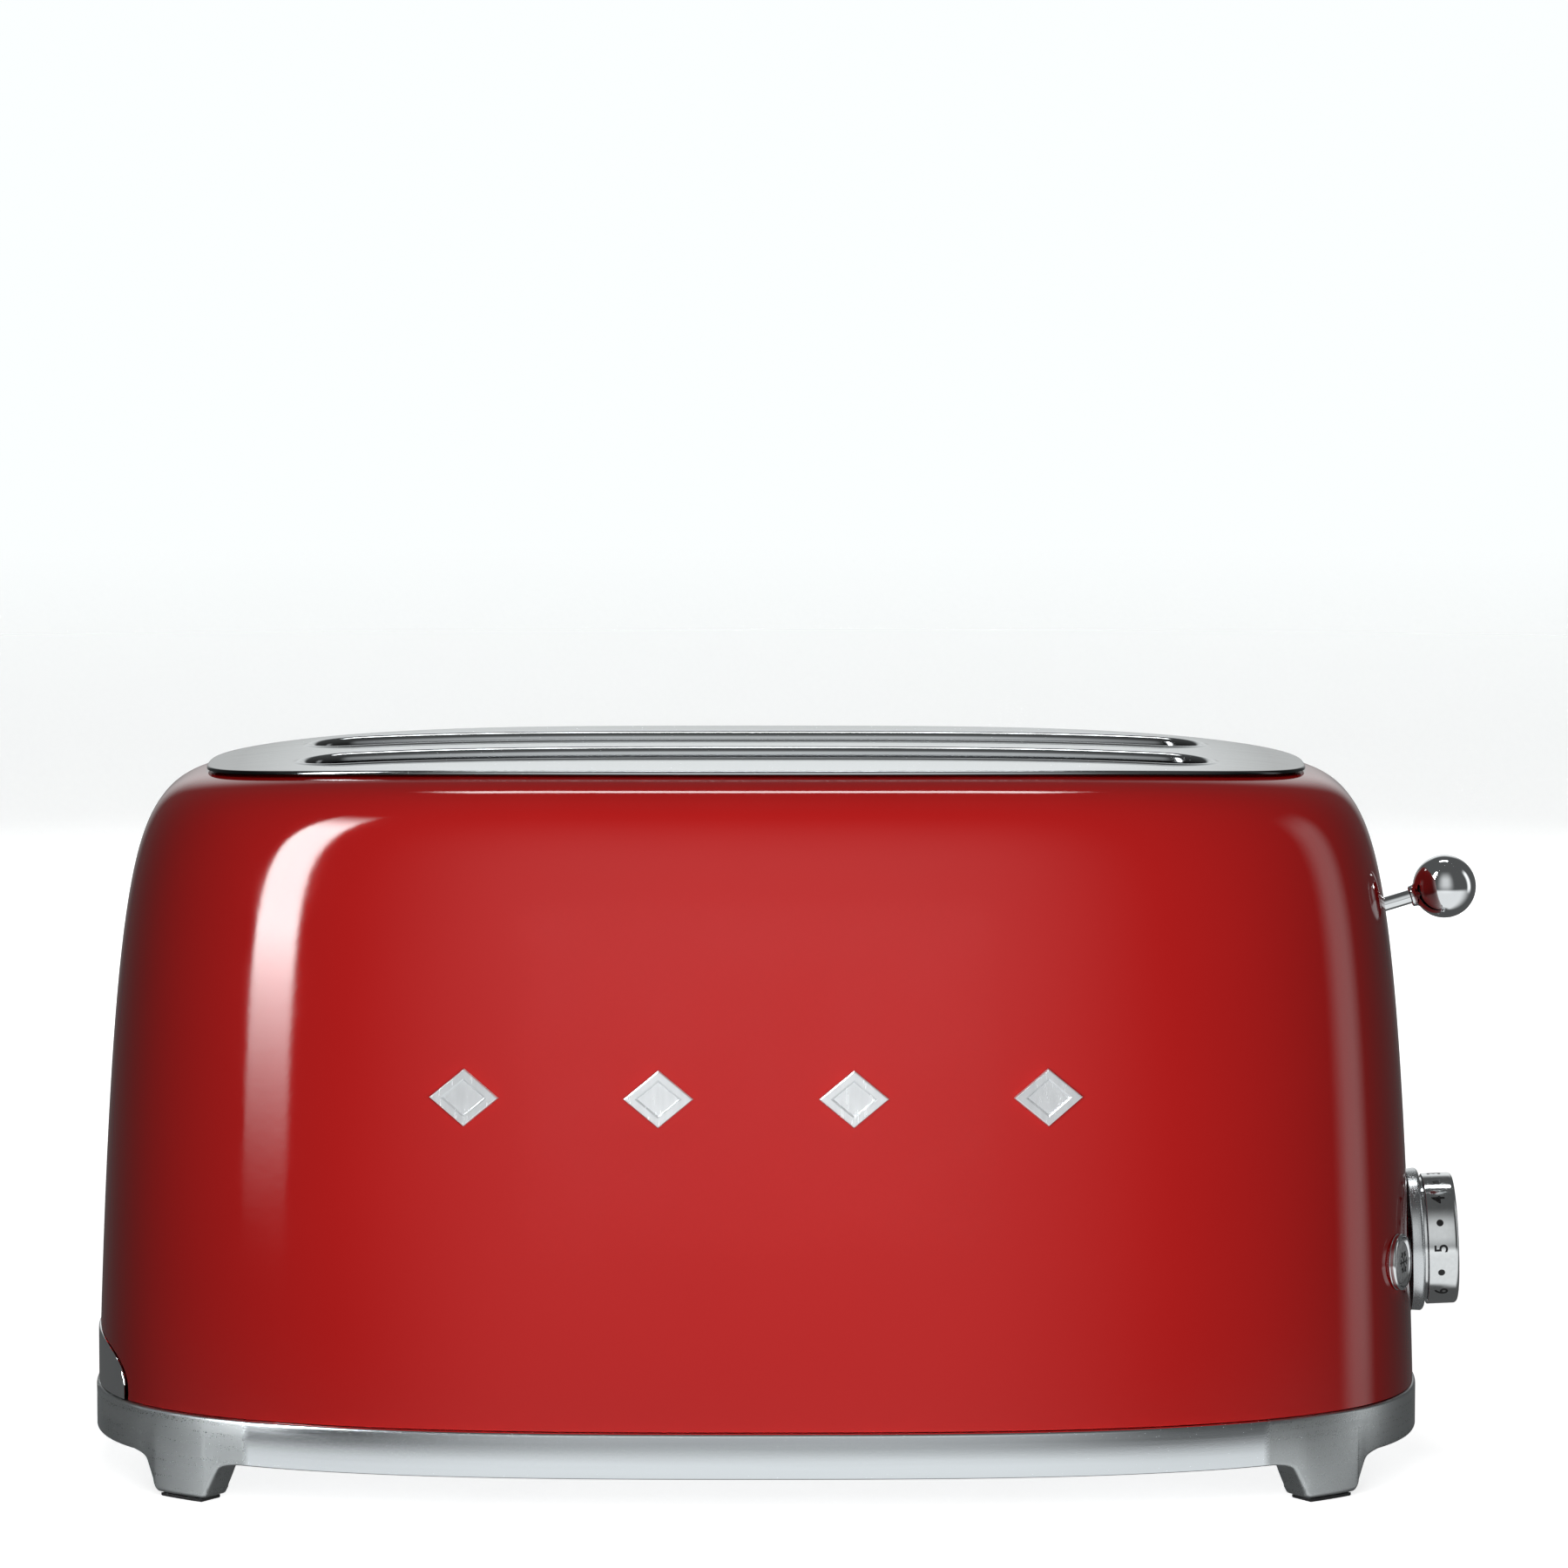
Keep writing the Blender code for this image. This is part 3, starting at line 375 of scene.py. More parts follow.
def skin(rows, wrap=False, caps=False):
    """Quads between closed rows of points; wrap joins the last row to the first."""
    rows = np.asarray(rows, float)
    count, width = rows.shape[0], rows.shape[1]
    faces = []
    for r in range(count if wrap else count - 1):
        low, high = r * width, (r + 1) % count * width
        for k in range(width):
            after = (k + 1) % width
            faces.append((low + k, low + after, high + after, high + k))
    if caps:
        faces.append(tuple(range(width))[::-1])
        faces.append(tuple(range((count - 1) * width, count * width)))
    return mesh_from(rows.reshape(-1, 3), faces)


def add_piece(name, mesh, material, body, *nodes, sharp=40.0, slot=None):
    """A finished piece that rides on a body and stands for the given CAD nodes."""
    mesh.materials.clear()
    mesh.materials.append(material)
    mesh.shade_smooth()
    mesh.set_sharp_from_angle(angle=math.radians(sharp))
    piece = put(name, mesh)
    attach(piece, body)
    if nodes:
        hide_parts(*nodes)
    slot = slot or (SLOT_OF[nodes[0]] if nodes else None)
    return piece


def carve(mesh, *tools):
    """The mesh with each tool's volume taken away."""
    holder = put("holder", mesh)
    cutters = [put("cutter", tool) for tool in tools]
    for cutter in cutters:
        modifier = holder.modifiers.new("cut", "BOOLEAN")
        modifier.operation = "DIFFERENCE"
        modifier.solver = "EXACT"
        modifier.object = cutter
    carved = evaluated_mesh(holder)
    for thing in (holder, *cutters):
        bpy.data.objects.remove(thing)
    return carved


def joined(*meshes):
    """Several meshes as one."""
    bm = bmesh.new()
    for mesh in meshes:
        bm.from_mesh(mesh)
    mesh = bpy.data.meshes.new("piece")
    bm.to_mesh(mesh)
    bm.free()
    return mesh


def moved(mesh, place):
    mesh.transform(place)
    return mesh


def rounded(corners, steps=4, closed=True):
    """Corners (x, y, radius) as an outline with each corner turned into an arc."""
    outline = []
    count = len(corners)
    for k, (x, y, radius) in enumerate(corners):
        here = Vector((x, y))
        end = not closed and k in (0, count - 1)
        if radius <= 0 or end:
            outline.append(here)
            continue
        before = (Vector(corners[k - 1][:2]) - here).normalized()
        after = (Vector(corners[(k + 1) % count][:2]) - here).normalized()
        half = before.angle(after) / 2
        reach = radius / math.tan(half)
        middle = here + (before + after).normalized() * (radius / math.sin(half))
        first = here + before * reach - middle
        sweep = math.pi - 2 * half
        turn = math.copysign(sweep, first.cross(after))
        for step in range(steps + 1):
            angle = turn * step / steps
            outline.append(middle + Matrix.Rotation(angle, 2) @ first)
    return outline


def lathe(profile, steps=96, caps=False):
    """A profile of (radius, height) points turned round Z."""
    turns = 2 * math.pi * np.arange(steps) / steps
    rows = [np.column_stack([r * np.cos(turns), r * np.sin(turns), np.full(steps, z)]) for r, z in profile]
    return skin(rows, wrap=not caps, caps=caps)


def tube(path, radius, steps=10, closed=False, side=Vector((0, 0, 1))):
    """A round bar along a path; side is any direction that the path never runs along."""
    path = [Vector(p) for p in path]
    count = len(path)
    rows = []
    for k, point in enumerate(path):
        before = path[k - 1] if closed or k else point
        after = path[(k + 1) % count] if closed or k < count - 1 else point
        along = (after - before).normalized()
        across = along.cross(side).normalized()
        up = across.cross(along)
        rows.append([point + radius * (math.cos(a) * across + math.sin(a) * up)
                     for a in (2 * math.pi * s / steps for s in range(steps))])
    return skin(rows, wrap=closed, caps=not closed)


def prism(outline, low, high, along=2):
    """A straight solid over an outline, between two levels of the given axis."""
    order = {0: (2, 0, 1), 1: (0, 2, 1), 2: (0, 1, 2)}[along]
    rows = []
    for level in (low, high):
        points = [(x, y, level) for x, y in outline]
        rows.append([tuple(point[k] for k in order) for point in points])
    return skin(rows, caps=True)


def stadium(x, y, length, width, steps=24, straight_steps=1):
    """Outline of a long slot with round ends, along x."""
    radius, straight = width / 2, (length - width) / 2
    points = []
    for side in (1, -1):
        for k in range(steps + 1):
            angle = math.pi * (k / steps - 0.5)
            points.append((x + side * (straight + radius * math.cos(angle)),
                           y + side * radius * math.sin(angle)))
        for k in range(1, straight_steps):
            points.append((x + side * straight * (1 - 2 * k / straight_steps), y + side * radius))
    return points


# ---------------------------------------------------------------- shape of the body

def signed_power(values, power):
    return np.sign(values) * np.abs(values) ** power


def plan(turns, half_length, half_depth):
    """Points of the plan's superellipse, round the origin."""
    return np.column_stack([half_length * signed_power(np.cos(turns), 2 / PLAN_POWER),
                            half_depth * signed_power(np.sin(turns), 2 / PLAN_POWER)])


def even_turns(count):
    """Turning angles that split the ring's outline into equal lengths."""
    fine = np.linspace(0, 2 * math.pi, 16001)
    lengths = np.linalg.norm(np.diff(plan(fine, RING_HALF_LENGTH, RING_HALF_DEPTH), axis=0), axis=1)
    reach = np.concatenate([[0], np.cumsum(lengths)])
    return np.interp(np.arange(count) / count * reach[-1], reach, fine)


def shell_size(t):
    half_length = SHELL_HALF_LENGTH * (1 - t ** SHELL_LEAN) ** (1 / SHELL_SQUARENESS)
    closing = (SHELL_HALF_DEPTH - PLATE_HALF_DEPTH) / (SHELL_HALF_LENGTH - PLATE_HALF_LENGTH)
    return half_length, SHELL_HALF_DEPTH - (SHELL_HALF_LENGTH - half_length) * closing


def shell_height(t, x):
    drop = END_DROP * np.abs(x / SHELL_HALF_LENGTH) ** 4 * t ** 6
    return SHELL_FOOT + (SHELL_CROWN - SHELL_FOOT) * t - drop


def height_share(half_length):
    return (1 - (half_length / SHELL_HALF_LENGTH) ** SHELL_SQUARENESS) ** (1 / SHELL_LEAN)


def other_share(share):
    """A point's share of one half size of the plan, from its share of the other."""
    return (1 - abs(share) ** PLAN_POWER) ** (1 / PLAN_POWER)


def level_at(z, x_at):
    """The shell's level at a height on its wall; x_at gives the wall's x at a level."""
    low, high = 0.0, 1.0
    for _ in range(40):
        t = (low + high) / 2
        low, high = (t, high) if shell_height(t, x_at(t)) < z else (low, t)
    return t


def end_wall_x(y, z):
    """How far out the +X wall of the shell is at a height, from the middle of the shell."""
    def wall_x(t):
        half_length, half_depth = shell_size(t)
        return half_length * other_share(y / half_depth)

    return wall_x(level_at(z, wall_x))


def grid_normals(grid):
    """Outward normals of a grid of rows that go up and run anticlockwise."""
    around = np.roll(grid, -1, axis=1) - np.roll(grid, 1, axis=1)
    upward = np.gradient(grid, axis=0)
    normals = np.cross(around, upward)
    return normals / np.linalg.norm(normals, axis=2, keepdims=True)


def plan_share(x, y, inset=0.0):
    """Under 1 inside the plate's outline moved in by the inset."""
    return (abs(x / (PLATE_HALF_LENGTH - inset)) ** PLAN_POWER
            + abs(y / (PLATE_HALF_DEPTH - inset)) ** PLAN_POWER)


def plate_height(x, y):
    """Height of the top plate's upper face; x and y are from the middle of the shell."""
    share = plan_share(x, y)
    rim = shell_height(height_share(PLATE_HALF_LENGTH), x) + PLATE_SEAT + PLATE_SHEET
    return rim + PLATE_RISE * (1 - share ** (2 / PLAN_POWER))


def ring_points(turns, inset=0.0):
    """Points of the ring's outline, moved in along its normals."""
    points = plan(turns, RING_HALF_LENGTH, RING_HALF_DEPTH)
    size = np.array([RING_HALF_LENGTH, RING_HALF_DEPTH])
    normals = signed_power(points / size, PLAN_POWER - 1) / size
    normals /= np.linalg.norm(normals, axis=1, keepdims=True)
    return points - np.reshape(inset, (-1, 1)) * normals


# ---------------------------------------------------------------- outside pieces

ARCH_HALF_WIDTH, ARCH_HEIGHT, ARCH_POWER = 0.0530, 0.0160, 3


def arch_rise(share):
    """Rise of the tray's arch, as a share of its height, at a share of its half width."""
    return max(0.0, 1 - abs(share) ** ARCH_POWER) ** (1 / ARCH_POWER)


def arch_outline(half_width, height, steps=64):
    shares = [math.cos(math.pi * k / steps) for k in range(steps + 1)]
    arc = [(half_width * share, RING_TOP + height * arch_rise(share)) for share in shares]
    return arc + [(-half_width, RING_TOP - 0.002), (half_width, RING_TOP - 0.002)]


def control_place(name):
    """Where a control sits on the end wall, with Z along its axis and Y up the wall."""
    if name == "knob":
        joint = JOINTS["knob_turn"]
        point, axis = Vector(joint["pos_m"]), Vector(joint["axis"])
    else:
        axis = -Vector(JOINTS[f"{name}_press"]["axis"])
        low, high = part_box(f"{name}_button_bezel")
        point = (low + high) / 2 - axis * 0.0013
    side = Vector((0, 0, 1)).cross(axis).normalized()
    turn = Matrix((side, axis.cross(side), axis)).transposed().to_4x4()
    return Matrix.Translation(point) @ turn


def make_shell():
    lowest = (RING_TOP + GAP - SHELL_FOOT) / (SHELL_CROWN - SHELL_FOOT)
    rim = height_share(PLATE_HALF_LENGTH - PLATE_OVERLAP)
    turns = even_turns(288)
    rows = []
    for climb in np.linspace(0, 1, 84):
        t = lowest + (rim - lowest) * (1 - (1 - climb) ** 2.2)
        points = plan(turns, *shell_size(t))
        rows.append(np.column_stack([points, shell_height(t, points[:, 0])]))
    outside = np.array(rows)
    outside[:, :, 0] += CENTRE_X
    inside = outside - SHELL_SHEET * grid_normals(outside)
    inside[0, :, 2] = outside[0, :, 2]
    edge = outside[:1] - 0.0003 * grid_normals(outside)[:1]
    edge[:, :, 2] -= 0.00018
    mesh = skin(np.concatenate([edge, outside, inside[::-1]]), wrap=True)

    ball_low, ball_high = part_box("lever_ball")
    ball_z = (ball_low.z + ball_high.z) / 2
    travel = -JOINTS["carriage_slide"]["range_m"][0]
    room_below, room_above = 0.0085, 0.0015
    slot_low, slot_high = ball_z - travel - room_below, ball_z + room_above
    middle, length = (slot_low + slot_high) / 2, slot_high - slot_low
    stadium_points = stadium(middle, 0, length, LEVER_SLOT_WIDTH, straight_steps=16)
    lever_slot = prism([(y, z) for z, y in stadium_points], CENTRE_X + 0.160, CENTRE_X + 0.200, along=0)
    arch = arch_outline(ARCH_HALF_WIDTH + 0.0005, ARCH_HEIGHT + 0.0006)
    mouth = prism(arch, CENTRE_X - 0.200, CENTRE_X - 0.150, along=0)
    holes = []
    for name, radius, back in (("knob", SHAFT_HOLE_RADIUS, -0.01), ("defrost", BUTTON_HOLE_RADIUS, -0.006),
                               ("cancel", BUTTON_HOLE_RADIUS, -0.006)):
        drill = lathe([(radius, back), (radius, 0.01)], 48, caps=True)
        holes.append(moved(drill, control_place(name)))
    carved = carve(mesh, lever_slot, mouth, *holes)
    add_piece("shell_skin", carved, RED_ENAMEL, "root", "outer_shell", sharp=30)

    hem = [(CENTRE_X + end_wall_x(y, z) - 0.0005, y, z) for z, y in stadium_points]
    hem_bar = tube(hem, 0.00055, closed=True, side=Vector((1, 0, 0)))
    add_piece("lever_slot_hem", hem_bar, RED_ENAMEL, "root", slot="red_paint")


def slot_section():
    """The pressed lip of a bread slot as (distance out from the mouth, rise above the plate)."""
    crest, radius, reach = 0.00045, 0.0024, 0.0042
    swell = []
    for k in range(8):
        share = k / 8
        swell.append((reach - (reach - radius) * share, crest * share * share * (3 - 2 * share)))
    roll = [(radius - radius * math.sin(a), crest - radius + radius * math.cos(a))
            for a in (math.pi / 2 * k / 10 for k in range(11))]
    return reach, swell + roll + [(0.0, -LIP_DEPTH), (0.0008, -LIP_DEPTH), (0.0008, -0.003)]


def make_top_plate():
    rim_radius = 0.0008
    reach, section = slot_section()
    turns = even_turns(288)

    def around_plate(inset):
        return plan(turns, PLATE_HALF_LENGTH - inset, PLATE_HALF_DEPTH - inset)

    def around_slot(side, out):
        """A bread slot's outline, moved out by a distance."""
        return stadium(0, side * SLOT_Y, SLOT_LENGTH + 2 * out, SLOT_WIDTH + 2 * out, 28, 72)

    def raised(row, footing, rise):
        """A row of points with a rise over the plate's height at another row."""
        return [(x, y, plate_height(px, py) + rise) for (x, y), (px, py) in zip(row, footing)]

    outline = around_plate(rim_radius)
    mouths = [around_slot(side, reach) for side in (-1, 1)]
    support, step, slot_margin, rim_margin = 0.0007, 0.0036, 0.0012, 0.0025
    around_mouths = [around_slot(side, reach + support) for side in (-1, 1)]
    loops = [outline.tolist(), *mouths, around_plate(rim_radius + support).tolist(), *around_mouths]
    spots = [point for loop in loops for point in loop]
    for i in range(-44, 45):
        for j in range(-18, 19):
            x, y = i * step, j * step * 0.98
            clear = all(stadium_distance(x, y, side) > reach + slot_margin for side in (-1, 1))
            if plan_share(x, y, rim_margin) < 1 and clear:
                spots.append((x, y))
    edges, start = [], 0
    for loop in loops:
        edges += [(start + k, start + (k + 1) % len(loop)) for k in range(len(loop))]
        start += len(loop)
    points, _, faces, *_ = geometry.delaunay_2d_cdt([Vector(p) for p in spots], edges, [], 0, 1e-7)
    points = np.array([tuple(p) for p in points])
    kept = []
    for face in faces:
        x, y = points[list(face)].mean(axis=0)
        clear = all(stadium_distance(x, y, side) > reach for side in (-1, 1))
        if plan_share(x, y, rim_radius) < 1 and clear:
            kept.append(tuple(face))
    verts = [(x, y, plate_height(x, y)) for x, y in points]

    def lay_rows(first, rows):
        """Adds rows of points after a loop whose first vertex is given."""
        width = len(rows[0])
        last = first
        for row in rows:
            base = len(verts)
            verts.extend(row)
            for k in range(width):
                after = (k + 1) % width
                kept.append((last + k, last + after, base + after, base + k))
            last = base

    rim_rows = []
    for degrees in (15, 30, 45, 60, 75, 90):
        angle = math.radians(degrees)
        out, drop = rim_radius * math.sin(angle), rim_radius * (1 - math.cos(angle))
        rim_rows.append(raised(around_plate(rim_radius - out), outline, -drop))
    for inset in (0.0, PLATE_OVERLAP):
        rim_rows.append(raised(around_plate(inset), outline, -PLATE_SHEET))
    lay_rows(0, rim_rows)
    start = len(outline)
    for side, mouth in zip((-1, 1), mouths):
        lay_rows(start, [raised(around_slot(side, out), mouth, rise) for out, rise in section[1:]])
        start += len(mouth)
    mesh = mesh_from([(x + CENTRE_X, y, z) for x, y, z in verts], kept)
    add_piece("top_plate_skin", mesh, POLISHED_STEEL, "root", "top_plate", sharp=50)


def stadium_distance(x, y, side):
    """Distance of a point from a bread slot's mouth, negative inside it."""
    straight = (SLOT_LENGTH - SLOT_WIDTH) / 2
    beyond = max(abs(x) - straight, 0.0)
    return math.hypot(beyond, y - side * SLOT_Y) - SLOT_WIDTH / 2


def foot_half_width(share):
    """Half width of a foot along the ring, from its sole (0) to the ring's lower edge (1)."""
    return 0.0100 + 0.0045 * share + 0.0055 * share ** 10


def ring_speed(turn):
    """Length of the ring's outline for each radian of turn."""
    step = 0.001
    return np.linalg.norm(np.diff(ring_points(np.array([turn, turn + step])), axis=0)) / step


def foot_turns():
    first = math.acos((FOOT_X / RING_HALF_LENGTH) ** (PLAN_POWER / 2))
    return [first, math.pi - first, math.pi + first, 2 * math.pi - first]


def ring_stations():
    """Stations round the ring as (turn, lower edge, depth of the lower face, edge radius)."""
    stations = [(turn, RING_BOTTOM, FLANGE_DEPTH, 0.0006) for turn in even_turns(320)]
    corner = 0.0018
    for foot in foot_turns():
        speed = ring_speed(foot)
        widest = foot_half_width(1.0) / speed
        stations = [station for station in stations
                    if abs((station[0] - foot + math.pi) % (2 * math.pi) - math.pi) > widest + 0.004]
        for side in (-1, 1):
            for k in range(17):
                share = 1 - (1 - k / 16) ** 1.5
                level = SOLE + corner + (RING_BOTTOM - SOLE - corner) * share
                along = foot_half_width(share) / speed
                grown = 1 - share ** 4
                depth = FLANGE_DEPTH + (FOOT_DEPTH - FLANGE_DEPTH) * grown
                stations.append((foot + side * along, level, depth, 0.0006 + 0.0016 * grown))
            for k in range(1, 5):
                angle = math.pi / 2 * k / 4
                along = (foot_half_width(0) - corner * (1 - math.cos(angle))) / speed
                stations.append((foot + side * along, SOLE + corner * (1 - math.sin(angle)), FOOT_DEPTH,
                                 0.0022 - 0.0008 * k / 4))
        for k in range(-2, 3):
            along = (foot_half_width(0) - corner) / speed * k / 3
            stations.append((foot + along, SOLE, FOOT_DEPTH, 0.0014))
    return sorted((turn % (2 * math.pi), *rest) for turn, *rest in stations)


def make_base_ring():
    stations = np.array(ring_stations())
    turns, levels, depths, radii = stations.T
    top_radius, wall, flange = 0.0010, 0.0035, RING_BOTTOM + 0.0015
    level = np.ones(len(turns))
    quarter = [math.pi / 2 * k / 5 for k in range(6)]
    columns = [(wall * level, RING_TOP * level)]
    for angle in quarter:
        drop = top_radius * (1 - math.cos(angle))
        columns.append((top_radius * (1 - math.sin(angle)) * level, (RING_TOP - drop) * level))
    for angle in quarter:
        columns.append((radii * (1 - math.cos(angle)), levels + radii * (1 - math.sin(angle))))
    columns += [(depths - 0.0008, levels), (depths, levels + 0.0008), (depths, flange * level),
                (wall * level, flange * level)]
    rows = []
    for inset, height in columns:
        points = ring_points(turns, inset)
        rows.append(np.column_stack([points[:, 0] + CENTRE_X, points[:, 1], height]))
    band = skin(np.transpose(rows, (1, 0, 2)), wrap=True)
    add_piece("ring_band", band, SATIN_RING, "root", "base_ring", sharp=50)


def make_foot_pads():
    names = ("rear_right", "rear_left", "front_left", "front_right")
    for name, foot in zip(names, foot_turns()):
        speed = ring_speed(foot)
        low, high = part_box(f"foot_pad_{name}")
        rows = []
        for shrink, height in ((0.0006, low.z), (0.0002, low.z + 0.0001), (0.0, low.z + 0.0003),
                               (0.0, high.z)):
            half = 0.0078 - shrink
            outer, inner = 0.0012 + shrink, FOOT_DEPTH - 0.0012 - shrink
            spans = np.linspace(-half, half, 9) / speed
            outside = ring_points(foot + spans, np.full(9, outer))
            inside = ring_points(foot + spans[::-1], np.full(9, inner))
            rows.append([(x + CENTRE_X, y, height) for x, y in (*outside, *inside)])
        pad = skin(rows, caps=True)
        add_piece(f"rubber_{name}", pad, RUBBER, "root", f"foot_pad_{name}", sharp=60)


def make_tray_pull():
    base = RING_TOP + GAP
    rows = []
    for k in range(65):
        y = ARCH_HALF_WIDTH * 0.992 * math.cos(math.pi * k / 64)
        turn = math.pi - math.copysign(math.asin((abs(y) / RING_HALF_DEPTH) ** (PLAN_POWER / 2)), y)
        height = ARCH_HEIGHT * arch_rise(y / ARCH_HALF_WIDTH)
        edge = min(0.0007, height * 0.4)
        top, front, back = RING_TOP + height, 0.0007, 0.0022
        corners = rounded([(front, base, 0), (front, top, edge), (back, top, edge * 0.6), (back, base, 0)],
                          steps=5)
        points = ring_points(np.full(len(corners), turn), np.array([c[0] for c in corners]))
        rows.append([(x + CENTRE_X, y, corner[1]) for (x, y), corner in zip(points, corners)])
    arch = skin(rows, caps=True)
    add_piece("tray_pull_arch", arch, CHROME, "crumb_tray", "crumb_tray_pull", sharp=50)


def make_emblems():
    """Plain lozenges with a raised border."""
    for number in range(1, 5):
        low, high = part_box(f"front_emblem_{number}")
        half_width, half_height = (high.x - low.x) / 2, (high.z - low.z) / 2
        middle = (low + high) / 2
        tips = [(1, 0), (0, 1), (-1, 0), (0, -1)]
        normal = emblem_normal(middle)
        side = Vector((0, 0, 1)).cross(normal).normalized()
        up = normal.cross(side)
        back = middle - normal * 0.0008
        rows = []
        for scale, height in ((0.985, 0.0), (0.985, 0.0009), (0.955, 0.00145), (0.915, 0.0016),
                              (0.66, 0.0016), (0.61, 0.00135), (0.57, 0.0008)):
            row = []
            for k, (a, b) in enumerate(tips):
                after = tips[(k + 1) % 4]
                for step in range(12):
                    share = step / 12
                    x = (a + (after[0] - a) * share) * half_width * scale
                    z = (b + (after[1] - b) * share) * half_height * scale
                    row.append(back + side * x + up * z + normal * height)
            rows.append(row)
        lozenge = skin(rows, caps=True)
        add_piece(f"emblem_{number}", lozenge, EMBLEM_METAL, "root", f"front_emblem_{number}", sharp=25)


def emblem_normal(middle):
    """Outward normal of the front wall at an emblem."""
    step = 0.004
    x = middle.x - CENTRE_X

    def wall_y(across, z):
        half_length, half_depth = shell_size(level_at(z, lambda t: across))
        return -half_depth * other_share(across / half_length)

    across = Vector((2 * step, wall_y(x + step, middle.z) - wall_y(x - step, middle.z), 0))
    upward = Vector((0, wall_y(x, middle.z + step) - wall_y(x, middle.z - step), 2 * step))
    return across.cross(upward).normalized()


# ---------------------------------------------------------------- lever and controls

def make_lever():
    low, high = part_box("lever_ball")
    centre = (low + high) / 2
    radius = (high.z - low.z) / 2
    tilt = math.radians(17)
    along = Vector((math.cos(tilt), 0, math.sin(tilt)))
    turn = Matrix.Translation(centre) @ along.to_track_quat("Z", "Y").to_matrix().to_4x4()
    neck = 0.0030
    start = -math.asin(neck / radius)
    arc = [(radius * math.sin(a), -radius * math.cos(a)) for a in np.linspace(-start, math.pi, 48)]
    collar = [(0.0021, -radius - 0.0011), (0.0026, -radius - 0.0012), (0.0030, -radius - 0.0009),
              (0.0031, -radius + 0.0002)]
    profile = [(0.0, -radius - 0.0011), *collar, *arc[1:]]
    ball = lathe([(max(r, ON_AXIS), z) for r, z in profile], 72, caps=True)
    add_piece("lever_knob_ball", moved(ball, turn), CHROME, "carriage", "lever_ball", sharp=35)

    rod_low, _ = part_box("lever_rod")
    length = (centre.x - rod_low.x) / along.x - 0.0006
    rod = lathe([(0.0017, -length), (0.0020, -length + 0.0004), (0.0020, -radius + 0.001)], 40, caps=True)
    add_piece("lever_bar", moved(rod, turn), CHROME, "carriage", "lever_rod", sharp=35)


def make_knob():
    place = control_place("knob")
    bezel = rounded([(0.0050, 0.0004, 0), (0.0209, 0.0004, 0.0003), (0.0203, 0.0040, 0.0012),
                     (0.0193, 0.0040, 0.0003), (0.0190, 0.0013, 0.0003), (0.0050, 0.0013, 0)], steps=6)
    add_piece("knob_collar", moved(lathe(bezel, 128), place), SATIN_BEZEL, "root", "knob_bezel", sharp=50)
    body = rounded([(0.0033, 0.0102, 0), (0.0033, 0.0020, 0), (0.0176, 0.0020, 0.0003),
                    (0.0176, 0.0050, 0.0002), (KNOB_RADIUS, 0.0050, 0.0003), (KNOB_RADIUS, 0.0134, 0.0012),
                    (0.0172, 0.0140, 0.0009), (0.0160, 0.0122, 0.0010), (0.0146, 0.0118, 0.0012),
                    (0.0000, 0.0118, 0)], steps=5, closed=False)
    body = [(ON_AXIS, 0.0102), *[(max(r, ON_AXIS), z) for r, z in body]]
    knob = lathe(body, 128)
    bar = grip_bar()
    add_piece("knob_body", moved(joined(knob, bar), place), KNOB_METAL, "knob", "browning_knob", sharp=35)
    add_piece("knob_numbers", moved(dial_print(), place), BLACK_PRINT, "knob", slot="black_plastic")


def grip_bar():
    """The raised bar across the knob's face, with a crowned top and rounded ends."""
    rows = []
    for scale, height in ((1.06, 0.0114), (1.04, 0.0119), (1.0, 0.0130), (0.96, 0.0135), (0.86, 0.0138)):
        half_width, half_length = 0.0035, 0.0140
        shrink = (1 - scale) * half_width
        outline = stadium(0, 0, 2 * (half_length - shrink), 2 * (half_width - shrink), steps=16)
        rows.append([(-y, x, height) for x, y in outline])
    return skin(rows, caps=True)


def text_mesh(text, height):
    """Outline of a digit as a flat mesh round the origin."""
    curve = bpy.data.curves.new("digit", "FONT")
    curve.body = text
    curve.size = height * 1.42
    curve.align_x = "CENTER"
    curve.align_y = "CENTER"
    curve.offset = height * 0.018
    holder = put("digit", curve)
    mesh = evaluated_mesh(holder)
    bpy.data.objects.remove(holder)
    spots = np.array([v.co for v in mesh.vertices])
    middle = np.mean([np.min(spots, axis=0), np.max(spots, axis=0)], axis=0)
    mesh.transform(Matrix.Translation(-Vector(middle)))
    return mesh


def disc_mesh(radius, steps=28):
    turns = [2 * math.pi * k / steps for k in range(steps)]
    return mesh_from([(radius * math.cos(a), radius * math.sin(a), 0) for a in turns], [tuple(range(steps))])


def dial_print():
    """Numbers 1 to 6 and the dots between them, printed round the knob's rim."""
    radius, level = KNOB_RADIUS + 0.00004, 0.0086
    marks = [(text_mesh(str(number), 0.0038), math.radians(225 - 45 * number)) for number in range(1, 7)]
    marks += [(disc_mesh(0.0010), math.radians(202.5 - 45 * number)) for number in range(1, 6)]
    wrapped = []
    for mesh, middle in marks:
        bm = bmesh.new()
        bm.from_mesh(mesh)
        bmesh.ops.triangulate(bm, faces=bm.faces)
        bmesh.ops.subdivide_edges(bm, edges=bm.edges, cuts=1)
        for vert in bm.verts:
            angle = middle + vert.co.x / radius
            vert.co = Vector((-radius * math.cos(angle), radius * math.sin(angle), level - vert.co.y))
        bm.to_mesh(mesh)
        bm.free()
        wrapped.append(mesh)
    return joined(*wrapped)


